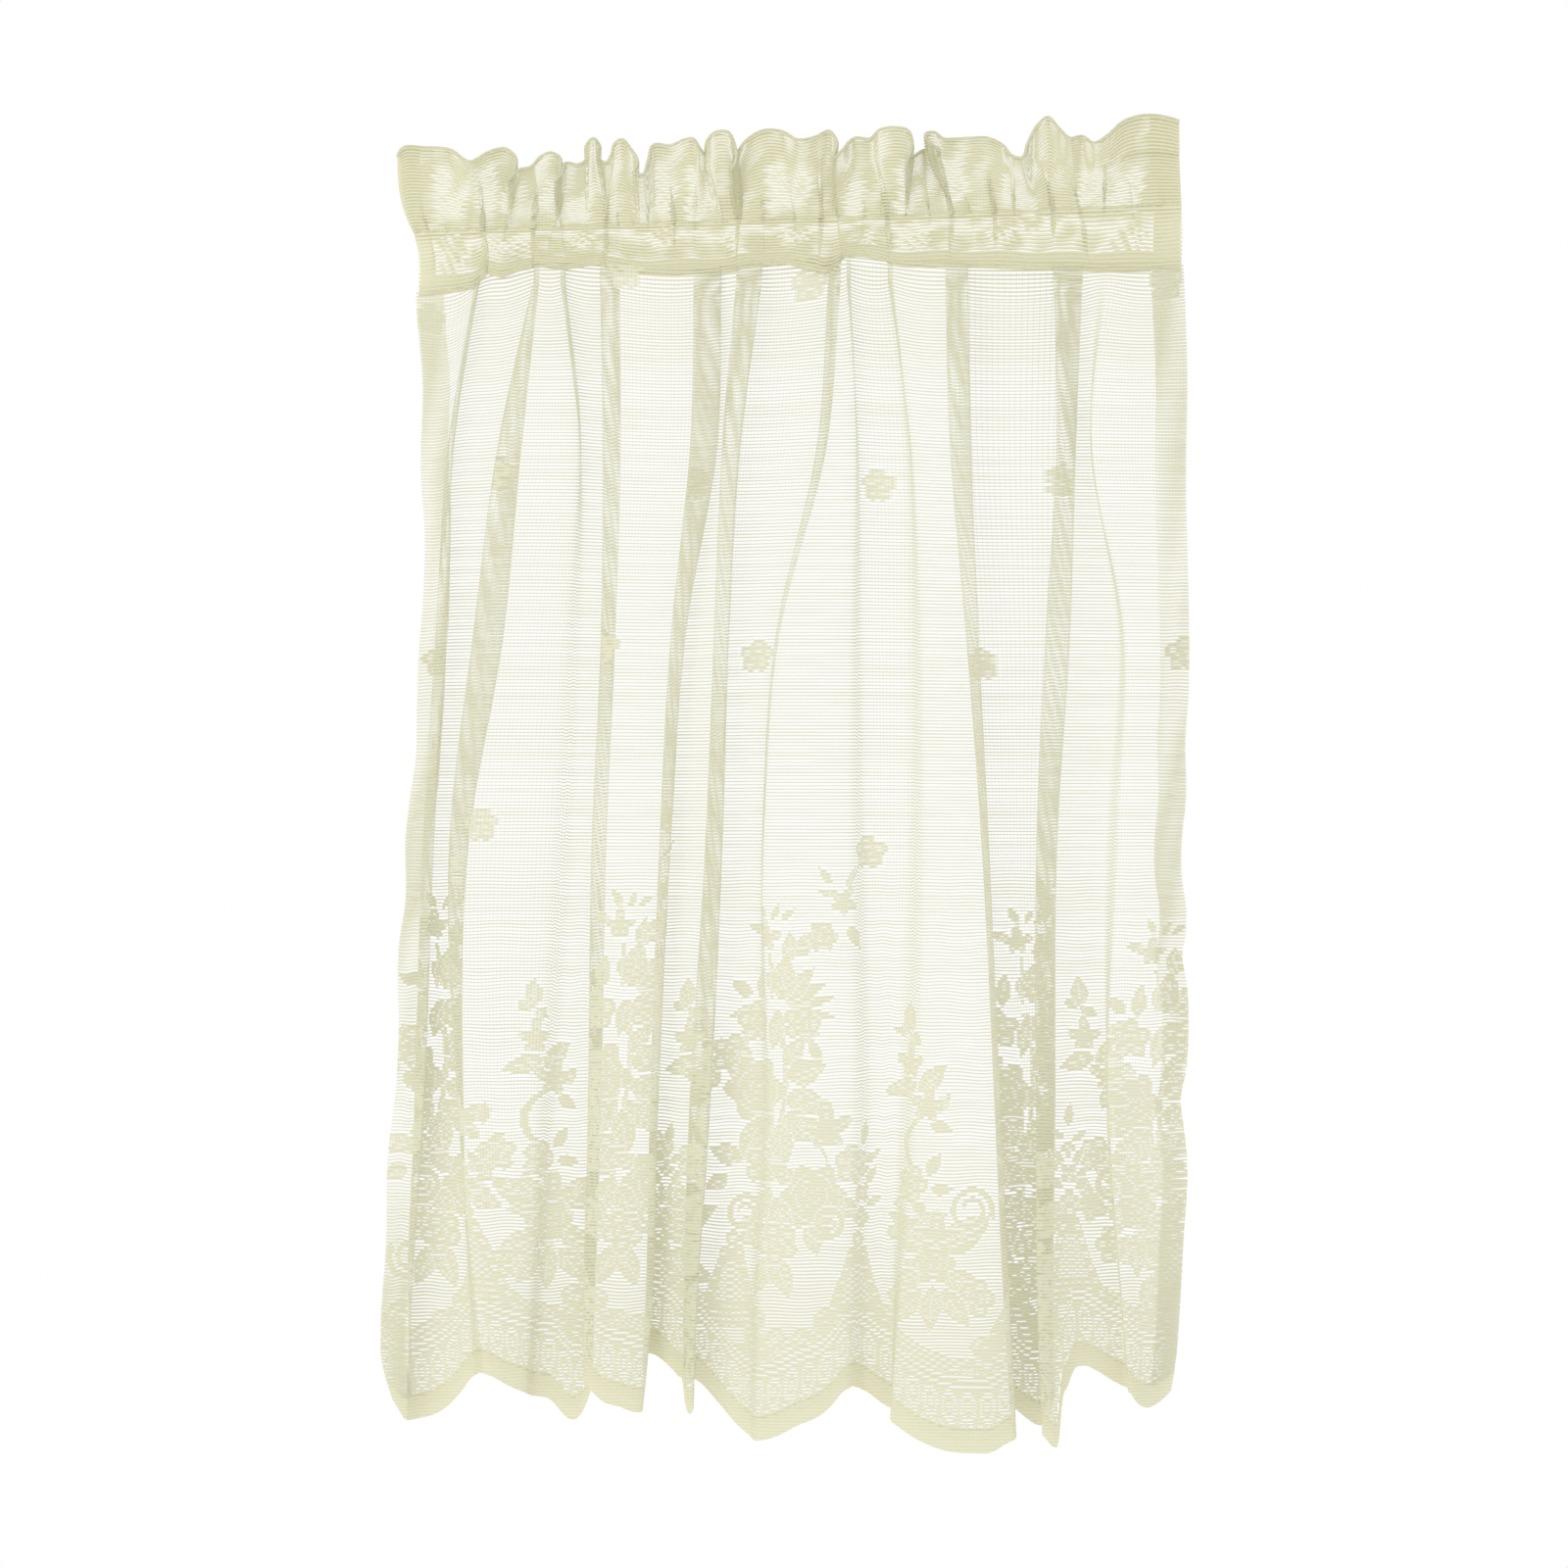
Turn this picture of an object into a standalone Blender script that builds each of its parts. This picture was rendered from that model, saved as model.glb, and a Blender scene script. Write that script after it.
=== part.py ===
"""Ruffled lace tier panel, hung by its rod pocket.

World units are metres, +Z is up and the face of the cloth looks along -Y. The origin is the middle
of the ruffle's top edge. The tables below are in millimetres as a maker would chalk them on the
cloth: "across" runs from the left side to the right, "down" runs from the top edge to the hem.
"""
from collections import namedtuple

import bmesh
import bpy
import numpy as np

MM = 0.001

# Driving dimensions, in millimetres.
ORIGIN_ACROSS = 217.0      # across of the gather that stands at the origin
SHEET = 1.0                # thickness of one layer of lace with its relief
SEAM_GAP = 1.0             # parting between the heading and the panel that hangs from it
POCKET_HALF_DEPTH = 7.0    # clear half depth of the rod pocket
RUFFLE_HALF_GAP = 0.8      # half of the space between the two layers of the ruffle
WALL = 1.2                 # thickness of one layer in the heading, measured front to back
PUCKER = 0.9               # height of the small gathers in the pocket's walls
PUCKER_PITCH = 24.5        # width of one such gather
PUCKER_BEAT = 69.0         # width over which they grow and fade
RUN_ROUND = 3.5            # roundness that even a short run of cloth keeps beside a turn
CUTTER_OVERHANG = 4.0      # how far the hollows' cutters reach past the heading's ends
SLANT_REACH = 70.0         # width over which the slant of the heading's left side fades

# Shares that give the folds, the lobes of the hem and the ruffle their roundness.
TOP_DEPTH = 0.48           # how deep a fold is at the seam, as a share of its depth at the hem
DEEPENING = 0.8            # under 1, folds deepen sooner below the seam than they do above the hem
RUN_SWELL = 0.42           # how far the cloth between two folds swells out, as a share of its length
STEADY_SWELL = 0.1         # the part of that swell that doesn't fade towards the seam
TURN_SWELL = 1.5           # how round a fold's turns are, as a share of its depth
WAVE_SWELL = 0.6           # what a soft wave's width adds to that
WAVE_SLANT = 1.2           # how far a soft wave still heads across in its middle, to its depth
LEAN_ONSET = 0.8           # under 1, the ruffle leans out sooner above its stitches
POCKET_BLUNTNESS = 3       # over 2, the pocket's section is blunter than an ellipse
STITCHED = 0.45            # the ruffle's thickness where the stitches press it
CREASED = 0.5              # the ruffle's thickness at its folded top
STITCH_RISE = 2.0          # how fast the ruffle gains thickness above the stitches
CREASE_RISE = 6.0          # how fast it gains thickness below its folded top
PUCKER_SHIFT = 1.3         # how far the gathers of the two walls are out of step, in radians

LEVELS = (87, 179, 292, 404, 573, 680, 748)

# A row for each fold, from left to right. centre is its middle at each of the seven levels. lap is
# how far the cloth doubles back there, and a negative lap is a soft wave that doesn't double back.
# back is where the cloth stands just before and just after the fold at the hem, plus being away from
# the viewer.
Fold = namedtuple("Fold", "name centre lap back")
FOLDS = tuple(Fold(*row) for row in (
    ("edge pleat", (49, 34, 28, 21, 15, 10, 12), (3, 4, 7, 7, 6, 2, -6), (-3, 7)),
    ("long slant", (83, 68, 55, 39, 40, 47, 54), (3, 13, 17, 11, 2, -4, -8), (5, -9)),
    ("short tuck", (98, 108, 104, 98, 88, 82, 77), (3, 1, -9, -11, -8, -4, -2), (-2, 6)),
    ("left pleat", (125, 126, 124, 119, 116, 113, 112), (11, 10, 8, 8, 7, 6, 3), (7, -8)),
    ("broad pleat", (181, 179, 164, 157, 150, 147, 142), (16, 16, 9, 7, 5, 4, 2), (-6, 10)),
    ("middle pleat", (205, 195, 189, 185, 176, 171, 170), (15, 11, 9, 10, 12, 8, 6), (-7, 8)),
    ("fading slant", (254, 247, 221, 213, 214, 208, 207), (7, 6, 2, 1, -4, -4, -3), (3, -4)),
    ("first wave", (262, 267, 267, 268, 270, 267, 266), (2, -1, -5, -7, -8, -8, -8), (-4, 4)),
    ("second wave", (286, 297, 301, 301, 296, 289, 286), (3, -1, -5, -7, -8, -2, 2), (5, -6)),
    ("right taper", (324, 326, 333, 340, 348, 353, 357), (13, 12, 7, 4, 3, 3, 2), (-11, 6)),
    ("right pleat", (388, 387, 382, 376, 375, 375, 377), (17, 12, 15, 13, 12, 10, 9), (10, -11)),
    ("curved crease", (408, 401, 419, 414, 411, 419, 424), (-5, 1, -2, -5, 2, 1, 1), (1, -8))))
LEFT_SIDE = (14, 18, 16, 9, 1, -7, 6)
RIGHT_SIDE = (454, 457, 458, 456, 457, 452, 447)

# The scalloped hem, with the dips that the folds leave in it: how far along the flat cloth, how far
# down.
HEM = (
    (0, 729.4), (3, 733.9), (8, 738.2), (14, 740.4), (20, 741.0), (32, 740.6), (39, 738.6), (47, 734.2),
    (56, 726.1), (64, 717.1), (70, 714.5), (76, 713.7), (84, 714.5), (96, 719.9), (114, 725.8),
    (132, 729.4), (152.7, 733.9), (154.5, 728), (158, 720.5), (166, 718.5), (172, 718.2), (176, 719.9),
    (181, 724.9), (187, 729.4), (197, 732.2), (210, 735.6), (214, 735.1), (221, 720.4), (229, 704.7),
    (236, 703.6), (256, 715.9), (259, 719), (260.3, 728), (262.5, 735.5), (264.8, 736.7), (266.8, 732),
    (268.3, 722), (273, 719.5), (284, 718.2), (293, 719.9), (305, 732.2), (315, 743.5), (323, 749.7),
    (330, 752.5), (337, 752.2), (345, 750.2), (358, 743.5), (372, 736.7), (378, 731.1), (383, 724.9),
    (390, 721.6), (399, 724.4), (414, 734.5), (420, 736.2), (428, 740.1), (432, 742.4), (445, 750.8),
    (460, 757.0), (473, 758.1), (482, 757.6), (489, 753.1), (497, 749.1), (503, 744.6), (514, 733.9),
    (517, 735.6), (524, 741.2), (533, 745.7), (538, 744.1), (543, 729.4), (548, 728.9), (556, 736.2),
    (566, 748.0), (568, 748.6), (571, 751.9), (574.5, 755.3), (577, 753.6), (578.5, 742.9), (580, 730.6),
    (584, 720.4), (588.5, 710.9), (594, 709.2), (602, 712.6), (613, 719.3), (620, 722.7), (626, 723.8),
    (632, 724.9), (636, 729.4), (642, 732.8), (655, 731.7), (661, 728.3), (664, 725.5), (667.5, 719.3))

# The line of stitches under the ruffle, and the seam that closes the pocket: across, then down.
STITCH_LINE = ((0, 60), (150, 55), (300, 50), (455, 44))
SEAM_LINE = ((0, 97), (34, 93), (52, 85), (66, 83), (80, 80), (125, 81), (169, 83), (214, 79),
             (262, 76), (300, 80), (397, 81), (460, 81))

# The heading's left side slants in on its way down: how far down, then how far in.
SIDE_SLANT = ((15, 1), (33, 3), (47, 6), (60, 9), (72, 12), (97, 12))

# A row for each crest or dip of the ruffle's top edge: where it is across, how far down, and how far
# it leans back, minus being towards the viewer.
Gather = namedtuple("Gather", "across down lean")
GATHERS = tuple(Gather(*row) for row in (
    (2, 15, 0), (18, 10, -5), (31, 10, -2), (45, 18, 6), (64, 11, -6), (71, 20, 3), (79, 21, 6),
    (91, 13, -5), (98, 20, 4), (110, 19, 6), (116, 5, -6), (121, 16, 4), (131, 6, -6), (141, 22, 6),
    (151, 7, -3), (163, 8, -6), (173, 4, -2), (180, 13, 6), (189, 1, -5), (198, 11, 5), (217, 0, 0),
    (235, 7, -6), (253, 0, -3), (257, 14, 6), (266, 3, -2), (275, 5, -6), (293, -1, 2), (298, 18, 7),
    (310, 2, -5), (324, 6, 2), (340, 3, -6), (359, 15, 7), (375, -8, -4), (391, 6, 5), (396, 3, 0),
    (405, 7, 6), (422, -3, -3), (434, -6, -6), (454, -4, 2)))

# Grid steps: places along each run and each turn of the panel's section, its rows, the widest step
# across the heading, and the heights of the heading's own rows, from 0 to 1.
RUN_STEPS = (0.0, 0.09, 0.24, 0.5, 0.76, 0.91)
TURN_STEPS = (0.0, 0.17, 0.36, 0.64, 0.83)
PANEL_ROWS = 13
COLUMN_STEP = 5.0
RUFFLE_ROWS = (0.0, 0.3, 0.65, 0.93)
RUFFLE_HOLLOW_ROWS = (0.25, 0.6, 0.9)
RUFFLE_HOLLOW_ENDS = (0.1, 0.965)
POCKET_ROWS = (0.1, 0.35, 0.65, 0.9)
POCKET_HOLLOW_ROWS = (0.13, 0.35, 0.65, 0.87)
POCKET_HOLLOW_ENDS = (0.05, 0.955)
WELD = 1e-6                # metres: points of a loft's first and last row meet within this

IVORY = (0.84, 0.82, 0.66)


def hermite(start, end, start_slope, end_slope, t):
    """Cubic from start to end that leaves and arrives with the given slopes, t from 0 to 1."""
    return ((2 * t**3 - 3 * t**2 + 1) * start + (t**3 - 2 * t**2 + t) * start_slope
            + (3 * t**2 - 2 * t**3) * end + (t**3 - t**2) * end_slope)


def smooth(knots, values, at):
    """Smooth curve through the values at the knots, each slope taken from the two neighbours."""
    knots, values = np.asarray(knots, float), np.asarray(values, float)
    slopes = np.gradient(values, knots)
    at = np.clip(at, knots[0], knots[-1])
    k = np.clip(np.searchsorted(knots, at) - 1, 0, len(knots) - 2)
    span = knots[k + 1] - knots[k]
    return hermite(values[k], values[k + 1], slopes[k] * span, slopes[k + 1] * span,
                   (at - knots[k]) / span)


def line_down(line, across):
    """How far down a sewn line is at a place across the panel."""
    return smooth([point[0] for point in line], [point[1] for point in line], across)


def depth_share(down):
    """Folds deepen from the seam to the hem: their depth there as a share of the hem's."""
    fall = np.clip((down - LEVELS[0]) / (LEVELS[-1] - LEVELS[0]), 0, 1)
    return TOP_DEPTH + (1 - TOP_DEPTH) * fall**DEEPENING


def stations(down):
    """The section of the cloth at each height as stations: across, back, and the way it heads.

    The left side, then for each fold the turn where the cloth starts to double back and the one
    where it goes on, then the right side.
    """
    share = depth_share(down)
    flat, level = np.zeros_like(down), np.ones_like(down)
    places = [(smooth(LEVELS, LEFT_SIDE, down), flat, level, flat)]
    for fold in FOLDS:
        centre = smooth(LEVELS, fold.centre, down)
        lap = smooth(LEVELS, fold.lap, down)
        before, after = fold.back
        rise = (after - before) * share
        onward = np.maximum(-lap, 0) * WAVE_SLANT
        length = np.hypot(onward, rise)
        places.append((centre + lap / 2, before * share, onward / length, rise / length))
        places.append((centre - lap / 2, after * share, onward / length, rise / length))
    places.append((smooth(LEVELS, RIGHT_SIDE, down), flat, level, flat))
    return places


def section(span, t, down):
    """Across and back of the cloth at t along one span of its section, for each height."""
    places = stations(down)
    x0, y0, ax, ay = places[span]
    x1, y1, bx, by = places[span + 1]
    if span % 2:
        pull = TURN_SWELL * np.abs(y1 - y0) + WAVE_SWELL * np.maximum(x1 - x0, 0)
        lift = pull
    else:
        fading = STEADY_SWELL + (1 - STEADY_SWELL) * depth_share(down)
        pull = RUN_SWELL * (x1 - x0) + RUN_ROUND
        lift = RUN_SWELL * (x1 - x0) * fading + RUN_ROUND
    return hermite(x0, x1, ax * pull, bx * pull, t), hermite(y0, y1, ay * lift, by * lift, t)


def columns():
    """Every column of the panel's grid as its span and its place along it."""
    spans = 2 * len(FOLDS) + 1
    steps = [(span, t) for span in range(spans) for t in (TURN_STEPS if span % 2 else RUN_STEPS)]
    return steps + [(spans - 1, 1.0)]


def flat_positions(grid):
    """Each column's distance from the left side in the flat cloth, measured just above the hem."""
    level = np.full(1, float(LEVELS[-2]))
    points = np.array([np.concatenate(section(span, t, level)) for span, t in grid])
    lengths = np.hypot(*np.diff(points, axis=0).T)
    return np.concatenate(([0.0], np.cumsum(lengths)))


def hem_down(flat):
    """How far down the scalloped hem hangs at a place along the flat cloth."""
    return smooth([point[0] for point in HEM], [point[1] for point in HEM], flat)


def to_world(across, back, down):
    """Chalked places to world coordinates in metres, as an array of points."""
    return np.stack([across - ORIGIN_ACROSS, back, -down], axis=-1).reshape(-1, 3) * MM


def new_object(name, builder, collection):
    """A mesh object from a function that fills a bmesh."""
    mesh = bpy.data.meshes.new(name)
    bm = bmesh.new()
    builder(bm)
    bmesh.ops.recalc_face_normals(bm, faces=bm.faces)
    bm.to_mesh(mesh)
    bm.free()
    mesh.shade_smooth()
    item = bpy.data.objects.new(name, mesh)
    collection.objects.link(item)
    return item


def fill_grid(bm, points, rows, cols):
    """A grid of rows and cols whose vertices are moved to the points, row after row."""
    made = bmesh.ops.create_grid(bm, x_segments=cols - 1, y_segments=rows - 1, size=1.0)
    ordered = sorted(made["verts"], key=lambda vert: (round(-vert.co.y, 4), round(vert.co.x, 4)))
    for vert, point in zip(ordered, points):
        vert.co = point


def slanted(across, down):
    """Places of the heading moved in beside its left side, as far as that side slants in there."""
    inward = smooth([row[0] for row in SIDE_SLANT], [row[1] for row in SIDE_SLANT], down)
    return across + inward * np.clip(1 - (across - GATHERS[0].across) / SLANT_REACH, 0, None)


def before_slant(across):
    """Where a place at the pocket's seam was before the left side's slant moved it in."""
    left, inward = GATHERS[0].across, SIDE_SLANT[-1][1]
    moved = (across - inward * (1 + left / SLANT_REACH)) / (1 - inward / SLANT_REACH)
    return np.minimum(moved, across)


def underside_down(across, back):
    """How far down the pocket's underside is: lowest at its middle, higher to its front and back."""
    lowest_row = POCKET_ROWS[-1]
    across = before_slant(across)
    reach = abs(pocket_outside(across, lowest_row, np.where(back < 0, -1, 1)))
    rise = (1 - lowest_row) * np.minimum(abs(back) / reach, 1)
    return pocket_point(across, 1 - rise, 0.0)[1]


def panel_mesh(bm):
    """The panel's sheet: its section at each row, from the pocket down to the scalloped hem."""
    grid = columns()
    share = np.linspace(0, 1, PANEL_ROWS)
    sheet = []
    for (span, t), lowest in zip(grid, hem_down(flat_positions(grid))):
        top = underside_down(*section(span, t, np.full(1, float(LEVELS[0])))) + SEAM_GAP
        down = top + (lowest - top) * share
        across, back = section(span, t, down)
        sheet.append(np.stack([across, back, down], axis=-1))
    sheet = np.array(sheet).transpose(1, 0, 2)
    fill_grid(bm, to_world(*np.moveaxis(sheet, -1, 0)), PANEL_ROWS, len(grid))


def ruffle_point(across, height, offset):
    """A place in the ruffle from the stitches at height 0 to the top edge at 1, as back and down."""
    places = [row.across for row in GATHERS]
    top = smooth(places, [row.down for row in GATHERS], across)
    lean = smooth(places, [row.lean for row in GATHERS], across)
    stitch = line_down(STITCH_LINE, across)
    return lean * height**LEAN_ONSET + offset, stitch + (top - stitch) * height


def pocket_point(across, height, offset):
    """A place in the pocket from the stitches at height 0 to the seam at 1, as back and down."""
    stitch, seam = line_down(STITCH_LINE, across), line_down(SEAM_LINE, across)
    return offset + np.zeros_like(across), stitch + (seam - stitch) * height


def roundness(height):
    """The pocket's half depth along its height as a share of the largest: blunt at both lines."""
    return (1 - abs(2 * height - 1)**POCKET_BLUNTNESS)**0.5


def ripple(across, side):
    """The small gathers that the stitches press into a pocket wall, never into the rod's room."""
    turn = 2 * np.pi * across
    gather = np.sin(turn / PUCKER_PITCH + side * PUCKER_SHIFT) * np.cos(turn / PUCKER_BEAT + side)
    return PUCKER * (1 + gather)


def ruffle_outside(across, height, side):
    """Half of the ruffle's thickness: thin where the stitches press it and at its folded top."""
    share = min(1.0, STITCHED + STITCH_RISE * height, CREASED + CREASE_RISE * (1 - height))
    return side * (RUFFLE_HALF_GAP + WALL) * share


def pocket_outside(across, height, side):
    """From the pocket's middle to the outside of one wall."""
    return side * (WALL + (POCKET_HALF_DEPTH + ripple(across, side)) * roundness(height))


def outer_section(across):
    """The heading's outline seen from its end: up the ruffle's face, over, and down to the seam."""
    up = [ruffle_point(across, row, ruffle_outside(across, row, -1)) for row in RUFFLE_ROWS]
    over = [ruffle_point(across, row, ruffle_outside(across, row, 1)) for row in RUFFLE_ROWS[::-1]]
    down = [pocket_point(across, row, pocket_outside(across, row, 1)) for row in POCKET_ROWS]
    back = [pocket_point(across, row, pocket_outside(across, row, -1)) for row in POCKET_ROWS[::-1]]
    return up + [ruffle_point(across, 1.0, 0.0)] + over + down + [pocket_point(across, 1.0, 0.0)] + back


def ruffle_hollow(across):
    """The space between the ruffle's two layers, seen from its end."""
    front = [ruffle_point(across, row, -RUFFLE_HALF_GAP) for row in RUFFLE_HOLLOW_ROWS]
    behind = [ruffle_point(across, row, RUFFLE_HALF_GAP) for row in RUFFLE_HOLLOW_ROWS[::-1]]
    low, high = RUFFLE_HOLLOW_ENDS
    return [ruffle_point(across, low, 0.0)] + front + [ruffle_point(across, high, 0.0)] + behind


def pocket_hollow(across):
    """The rod's room between the pocket's two walls, seen from its end."""
    halves = [(row, POCKET_HALF_DEPTH * roundness(row)) for row in POCKET_HOLLOW_ROWS]
    front = [pocket_point(across, row, -half) for row, half in halves]
    behind = [pocket_point(across, row, half) for row, half in halves[::-1]]
    high, low = POCKET_HOLLOW_ENDS
    return [pocket_point(across, high, 0.0)] + front + [pocket_point(across, low, 0.0)] + behind


def heading_columns():
    """Places across the heading: one at each gather, and others between those that are far apart."""
    places = []
    for row, following in zip(GATHERS, GATHERS[1:]):
        parts = max(2, round((following.across - row.across) / COLUMN_STEP))
        places += [row.across + (following.across - row.across) * k / parts for k in range(parts)]
    return np.array(places + [GATHERS[-1].across], float)


def loft(bm, across, outline):
    """A closed tube whose section at each place across is the outline's, with flat ends."""
    loop = outline(across)
    back = np.array([np.broadcast_to(point[0], across.shape) for point in loop + loop[:1]])
    down = np.array([np.broadcast_to(point[1], across.shape) for point in loop + loop[:1]])
    places = to_world(slanted(across, down), back, down)
    fill_grid(bm, places, len(loop) + 1, len(across))
    bmesh.ops.remove_doubles(bm, verts=bm.verts, dist=WELD)
    open_edges = [edge for edge in bm.edges if edge.is_boundary]
    bmesh.ops.holes_fill(bm, edges=open_edges, sides=0)


def reach_out(across):
    """The same places, with the first and the last moved out past the cloth's sides."""
    longer = across.copy()
    longer[0] -= CUTTER_OVERHANG
    longer[-1] += CUTTER_OVERHANG
    return longer


def material(name, color, roughness):
    """A plain finish for one sub-part."""
    finish = bpy.data.materials.new(name)
    finish.use_nodes = True
    shader = finish.node_tree.nodes["Principled BSDF"]
    shader.inputs["Base Color"].default_value = (*color, 1.0)
    shader.inputs["Roughness"].default_value = roughness
    shader.inputs["Metallic"].default_value = 0.0
    return finish


def make_panel(parts):
    """The hanging lace: one sheet with its folds and its scalloped hem."""
    panel = new_object("lace_panel", panel_mesh, parts)
    sheet = panel.modifiers.new("Sheet", "SOLIDIFY")
    sheet.thickness = SHEET * MM
    sheet.offset = 0.0
    sheet.use_even_offset = True
    panel.data.materials.append(material("ivory lace", IVORY, 0.9))


def make_heading(parts, cutters):
    """The ruffle and rod pocket: lace folded over to the back and stitched down in two lines."""
    across = heading_columns()
    heading = new_object("heading", lambda bm: loft(bm, across, outer_section), parts)
    for name, outline in (("ruffle hollow", ruffle_hollow), ("pocket hollow", pocket_hollow)):
        cutter = new_object(name, lambda bm: loft(bm, reach_out(across), outline), cutters)
        cutter.hide_render = True
        cutter.display_type = "WIRE"
        cut = heading.modifiers.new(name, "BOOLEAN")
        cut.operation = "DIFFERENCE"
        cut.object = cutter
    heading.data.materials.append(material("ivory heading", IVORY, 0.9))


def main():
    for item in list(bpy.data.objects):
        bpy.data.objects.remove(item)
    parts = bpy.data.collections.new("lace_tier_panel")
    cutters = bpy.data.collections.new("cutters")
    bpy.context.scene.collection.children.link(parts)
    bpy.context.scene.collection.children.link(cutters)
    make_panel(parts)
    make_heading(parts, cutters)


main()
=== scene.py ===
"""The looks of a ruffled ivory lace tier panel, hung by its rod pocket.

World units are metres. The tables are in millimetres, as in the part: "across" runs from the left
side to the right, "down" from the ruffle's top edge to the hem, "back" away from the viewer. "flat"
is a place across the cloth as if it lay flat, and "fall" is how far a place hangs below the pocket.

The cloth is never quite even, so many shapes add a few slow sines. What such a sine divides by is a
length in millimetres, and what it adds only keeps it out of step with the others.
"""
from collections import namedtuple
from math import radians

import bpy
import numpy as np
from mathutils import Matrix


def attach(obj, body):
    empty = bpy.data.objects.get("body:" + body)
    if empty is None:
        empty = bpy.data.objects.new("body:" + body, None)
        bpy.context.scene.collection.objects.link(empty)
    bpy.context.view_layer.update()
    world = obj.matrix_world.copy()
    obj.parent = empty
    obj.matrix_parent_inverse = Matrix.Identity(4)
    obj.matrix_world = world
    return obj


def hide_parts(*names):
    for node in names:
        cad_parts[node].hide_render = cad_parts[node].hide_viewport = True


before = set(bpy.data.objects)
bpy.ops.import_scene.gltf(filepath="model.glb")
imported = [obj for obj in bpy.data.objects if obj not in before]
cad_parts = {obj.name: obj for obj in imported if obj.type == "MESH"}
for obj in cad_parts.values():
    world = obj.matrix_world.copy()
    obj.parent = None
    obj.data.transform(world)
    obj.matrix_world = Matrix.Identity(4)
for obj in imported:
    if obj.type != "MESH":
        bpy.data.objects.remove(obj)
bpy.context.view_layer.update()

MM = 0.001
ORIGIN_ACROSS = 217.0      # the place across that stands at the world's origin
LEVELS = (87, 179, 292, 404, 573, 680, 748)     # how far down each height of the folds' table is

# The picture that the camera shows, in pixels.
PIXEL = 0.5624             # millimetres of the panel to a pixel
PICTURE = 1600             # its width and height
LEFT_PIXEL = 400           # where 0 across is
TOP_PIXEL = 131            # where 0 down is

# A row for each fold: its middle and its lap at each level, and where the cloth stands before and
# after it at the hem.
Fold = namedtuple("Fold", "name centre lap back")
FOLDS = tuple(Fold(*row) for row in (
    ("edge pleat", (49, 34, 28, 21, 15, 10, 12), (3, 4, 7, 7, 6, 2, -6), (-3, 7)),
    ("long slant", (83, 68, 55, 39, 40, 47, 54), (3, 13, 17, 11, 2, -4, -8), (5, -9)),
    ("short tuck", (98, 108, 104, 98, 88, 82, 77), (3, 1, -9, -11, -8, -4, -2), (-2, 6)),
    ("left pleat", (125, 126, 124, 119, 116, 113, 112), (11, 10, 8, 8, 7, 6, 3), (7, -8)),
    ("broad pleat", (181, 179, 164, 157, 150, 147, 142), (16, 16, 9, 7, 5, 4, 2), (-6, 10)),
    ("middle pleat", (205, 195, 189, 185, 176, 171, 170), (15, 11, 9, 10, 12, 8, 6), (-7, 8)),
    ("fading slant", (254, 247, 221, 213, 214, 208, 207), (7, 6, 2, 1, -4, -4, -3), (3, -4)),
    ("first wave", (262, 267, 267, 268, 270, 267, 266), (2, -1, -5, -7, -8, -8, -8), (-4, 4)),
    ("second wave", (286, 297, 301, 301, 296, 289, 286), (3, -1, -5, -7, -8, -2, 2), (5, -6)),
    ("right taper", (324, 326, 333, 340, 348, 353, 357), (13, 12, 7, 4, 3, 3, 2), (-11, 6)),
    ("right pleat", (388, 387, 382, 376, 375, 375, 377), (17, 12, 15, 13, 12, 10, 9), (10, -11)),
    ("curved crease", (408, 401, 419, 414, 411, 419, 424), (-5, 1, -2, -5, 2, 1, 1), (1, -8))))

# The panel's two sides: how far down, how far across.
LEFT_SIDE = ((80, 13.5), (105, 14), (120, 15.2), (140, 16.9), (200, 16.4), (230, 18.5), (265, 18),
             (300, 15.3), (330, 14.2), (362, 13.4), (385, 10), (405, 7.6), (445, 7.2), (464, 4.2),
             (525, 3.6), (550, 2.2), (590, -2.4), (640, -3.6), (690, -6.6), (705, -6.3), (717, -3.7),
             (727, -0.6), (748, 6))
RIGHT_SIDE = ((80, 454.4), (105, 455.5), (140, 456.7), (200, 456), (300, 457.6), (325, 457.3),
              (352, 455.5), (380, 456.1), (413, 453.3), (430, 453.6), (448, 456), (464, 455.5),
              (474, 453.6), (490, 456.1), (520, 457.2), (540, 456), (558, 452.7), (570, 454),
              (590, 456.3), (640, 454.2), (677, 452.2), (707, 449.9), (727, 446.5), (748, 441))

# How the cloth swells between its sides. A fold whose lap is minus is a wave, which doesn't overlap.
TOP_DEPTH = 0.48           # depth of the folds at the seam, as a share of the hem's
DEEPENING = 0.8            # power of the fall by which they deepen
RUN_SWELL = 0.42           # how far a run between two folds swells, as a share of its width
STEADY_SWELL = 0.1         # share of that which doesn't lessen with the folds' depth
RUN_ROUND = 3.5            # swell that each run has besides
TURN_SWELL = 1.5           # how far the cloth swells in a fold, as a share of the fold's depth
WAVE_SWELL = 0.6           # the same in a wave, as a share of its width
WAVE_SLANT = 1.2           # how far it heads onward through a wave, as a share of its width

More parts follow.
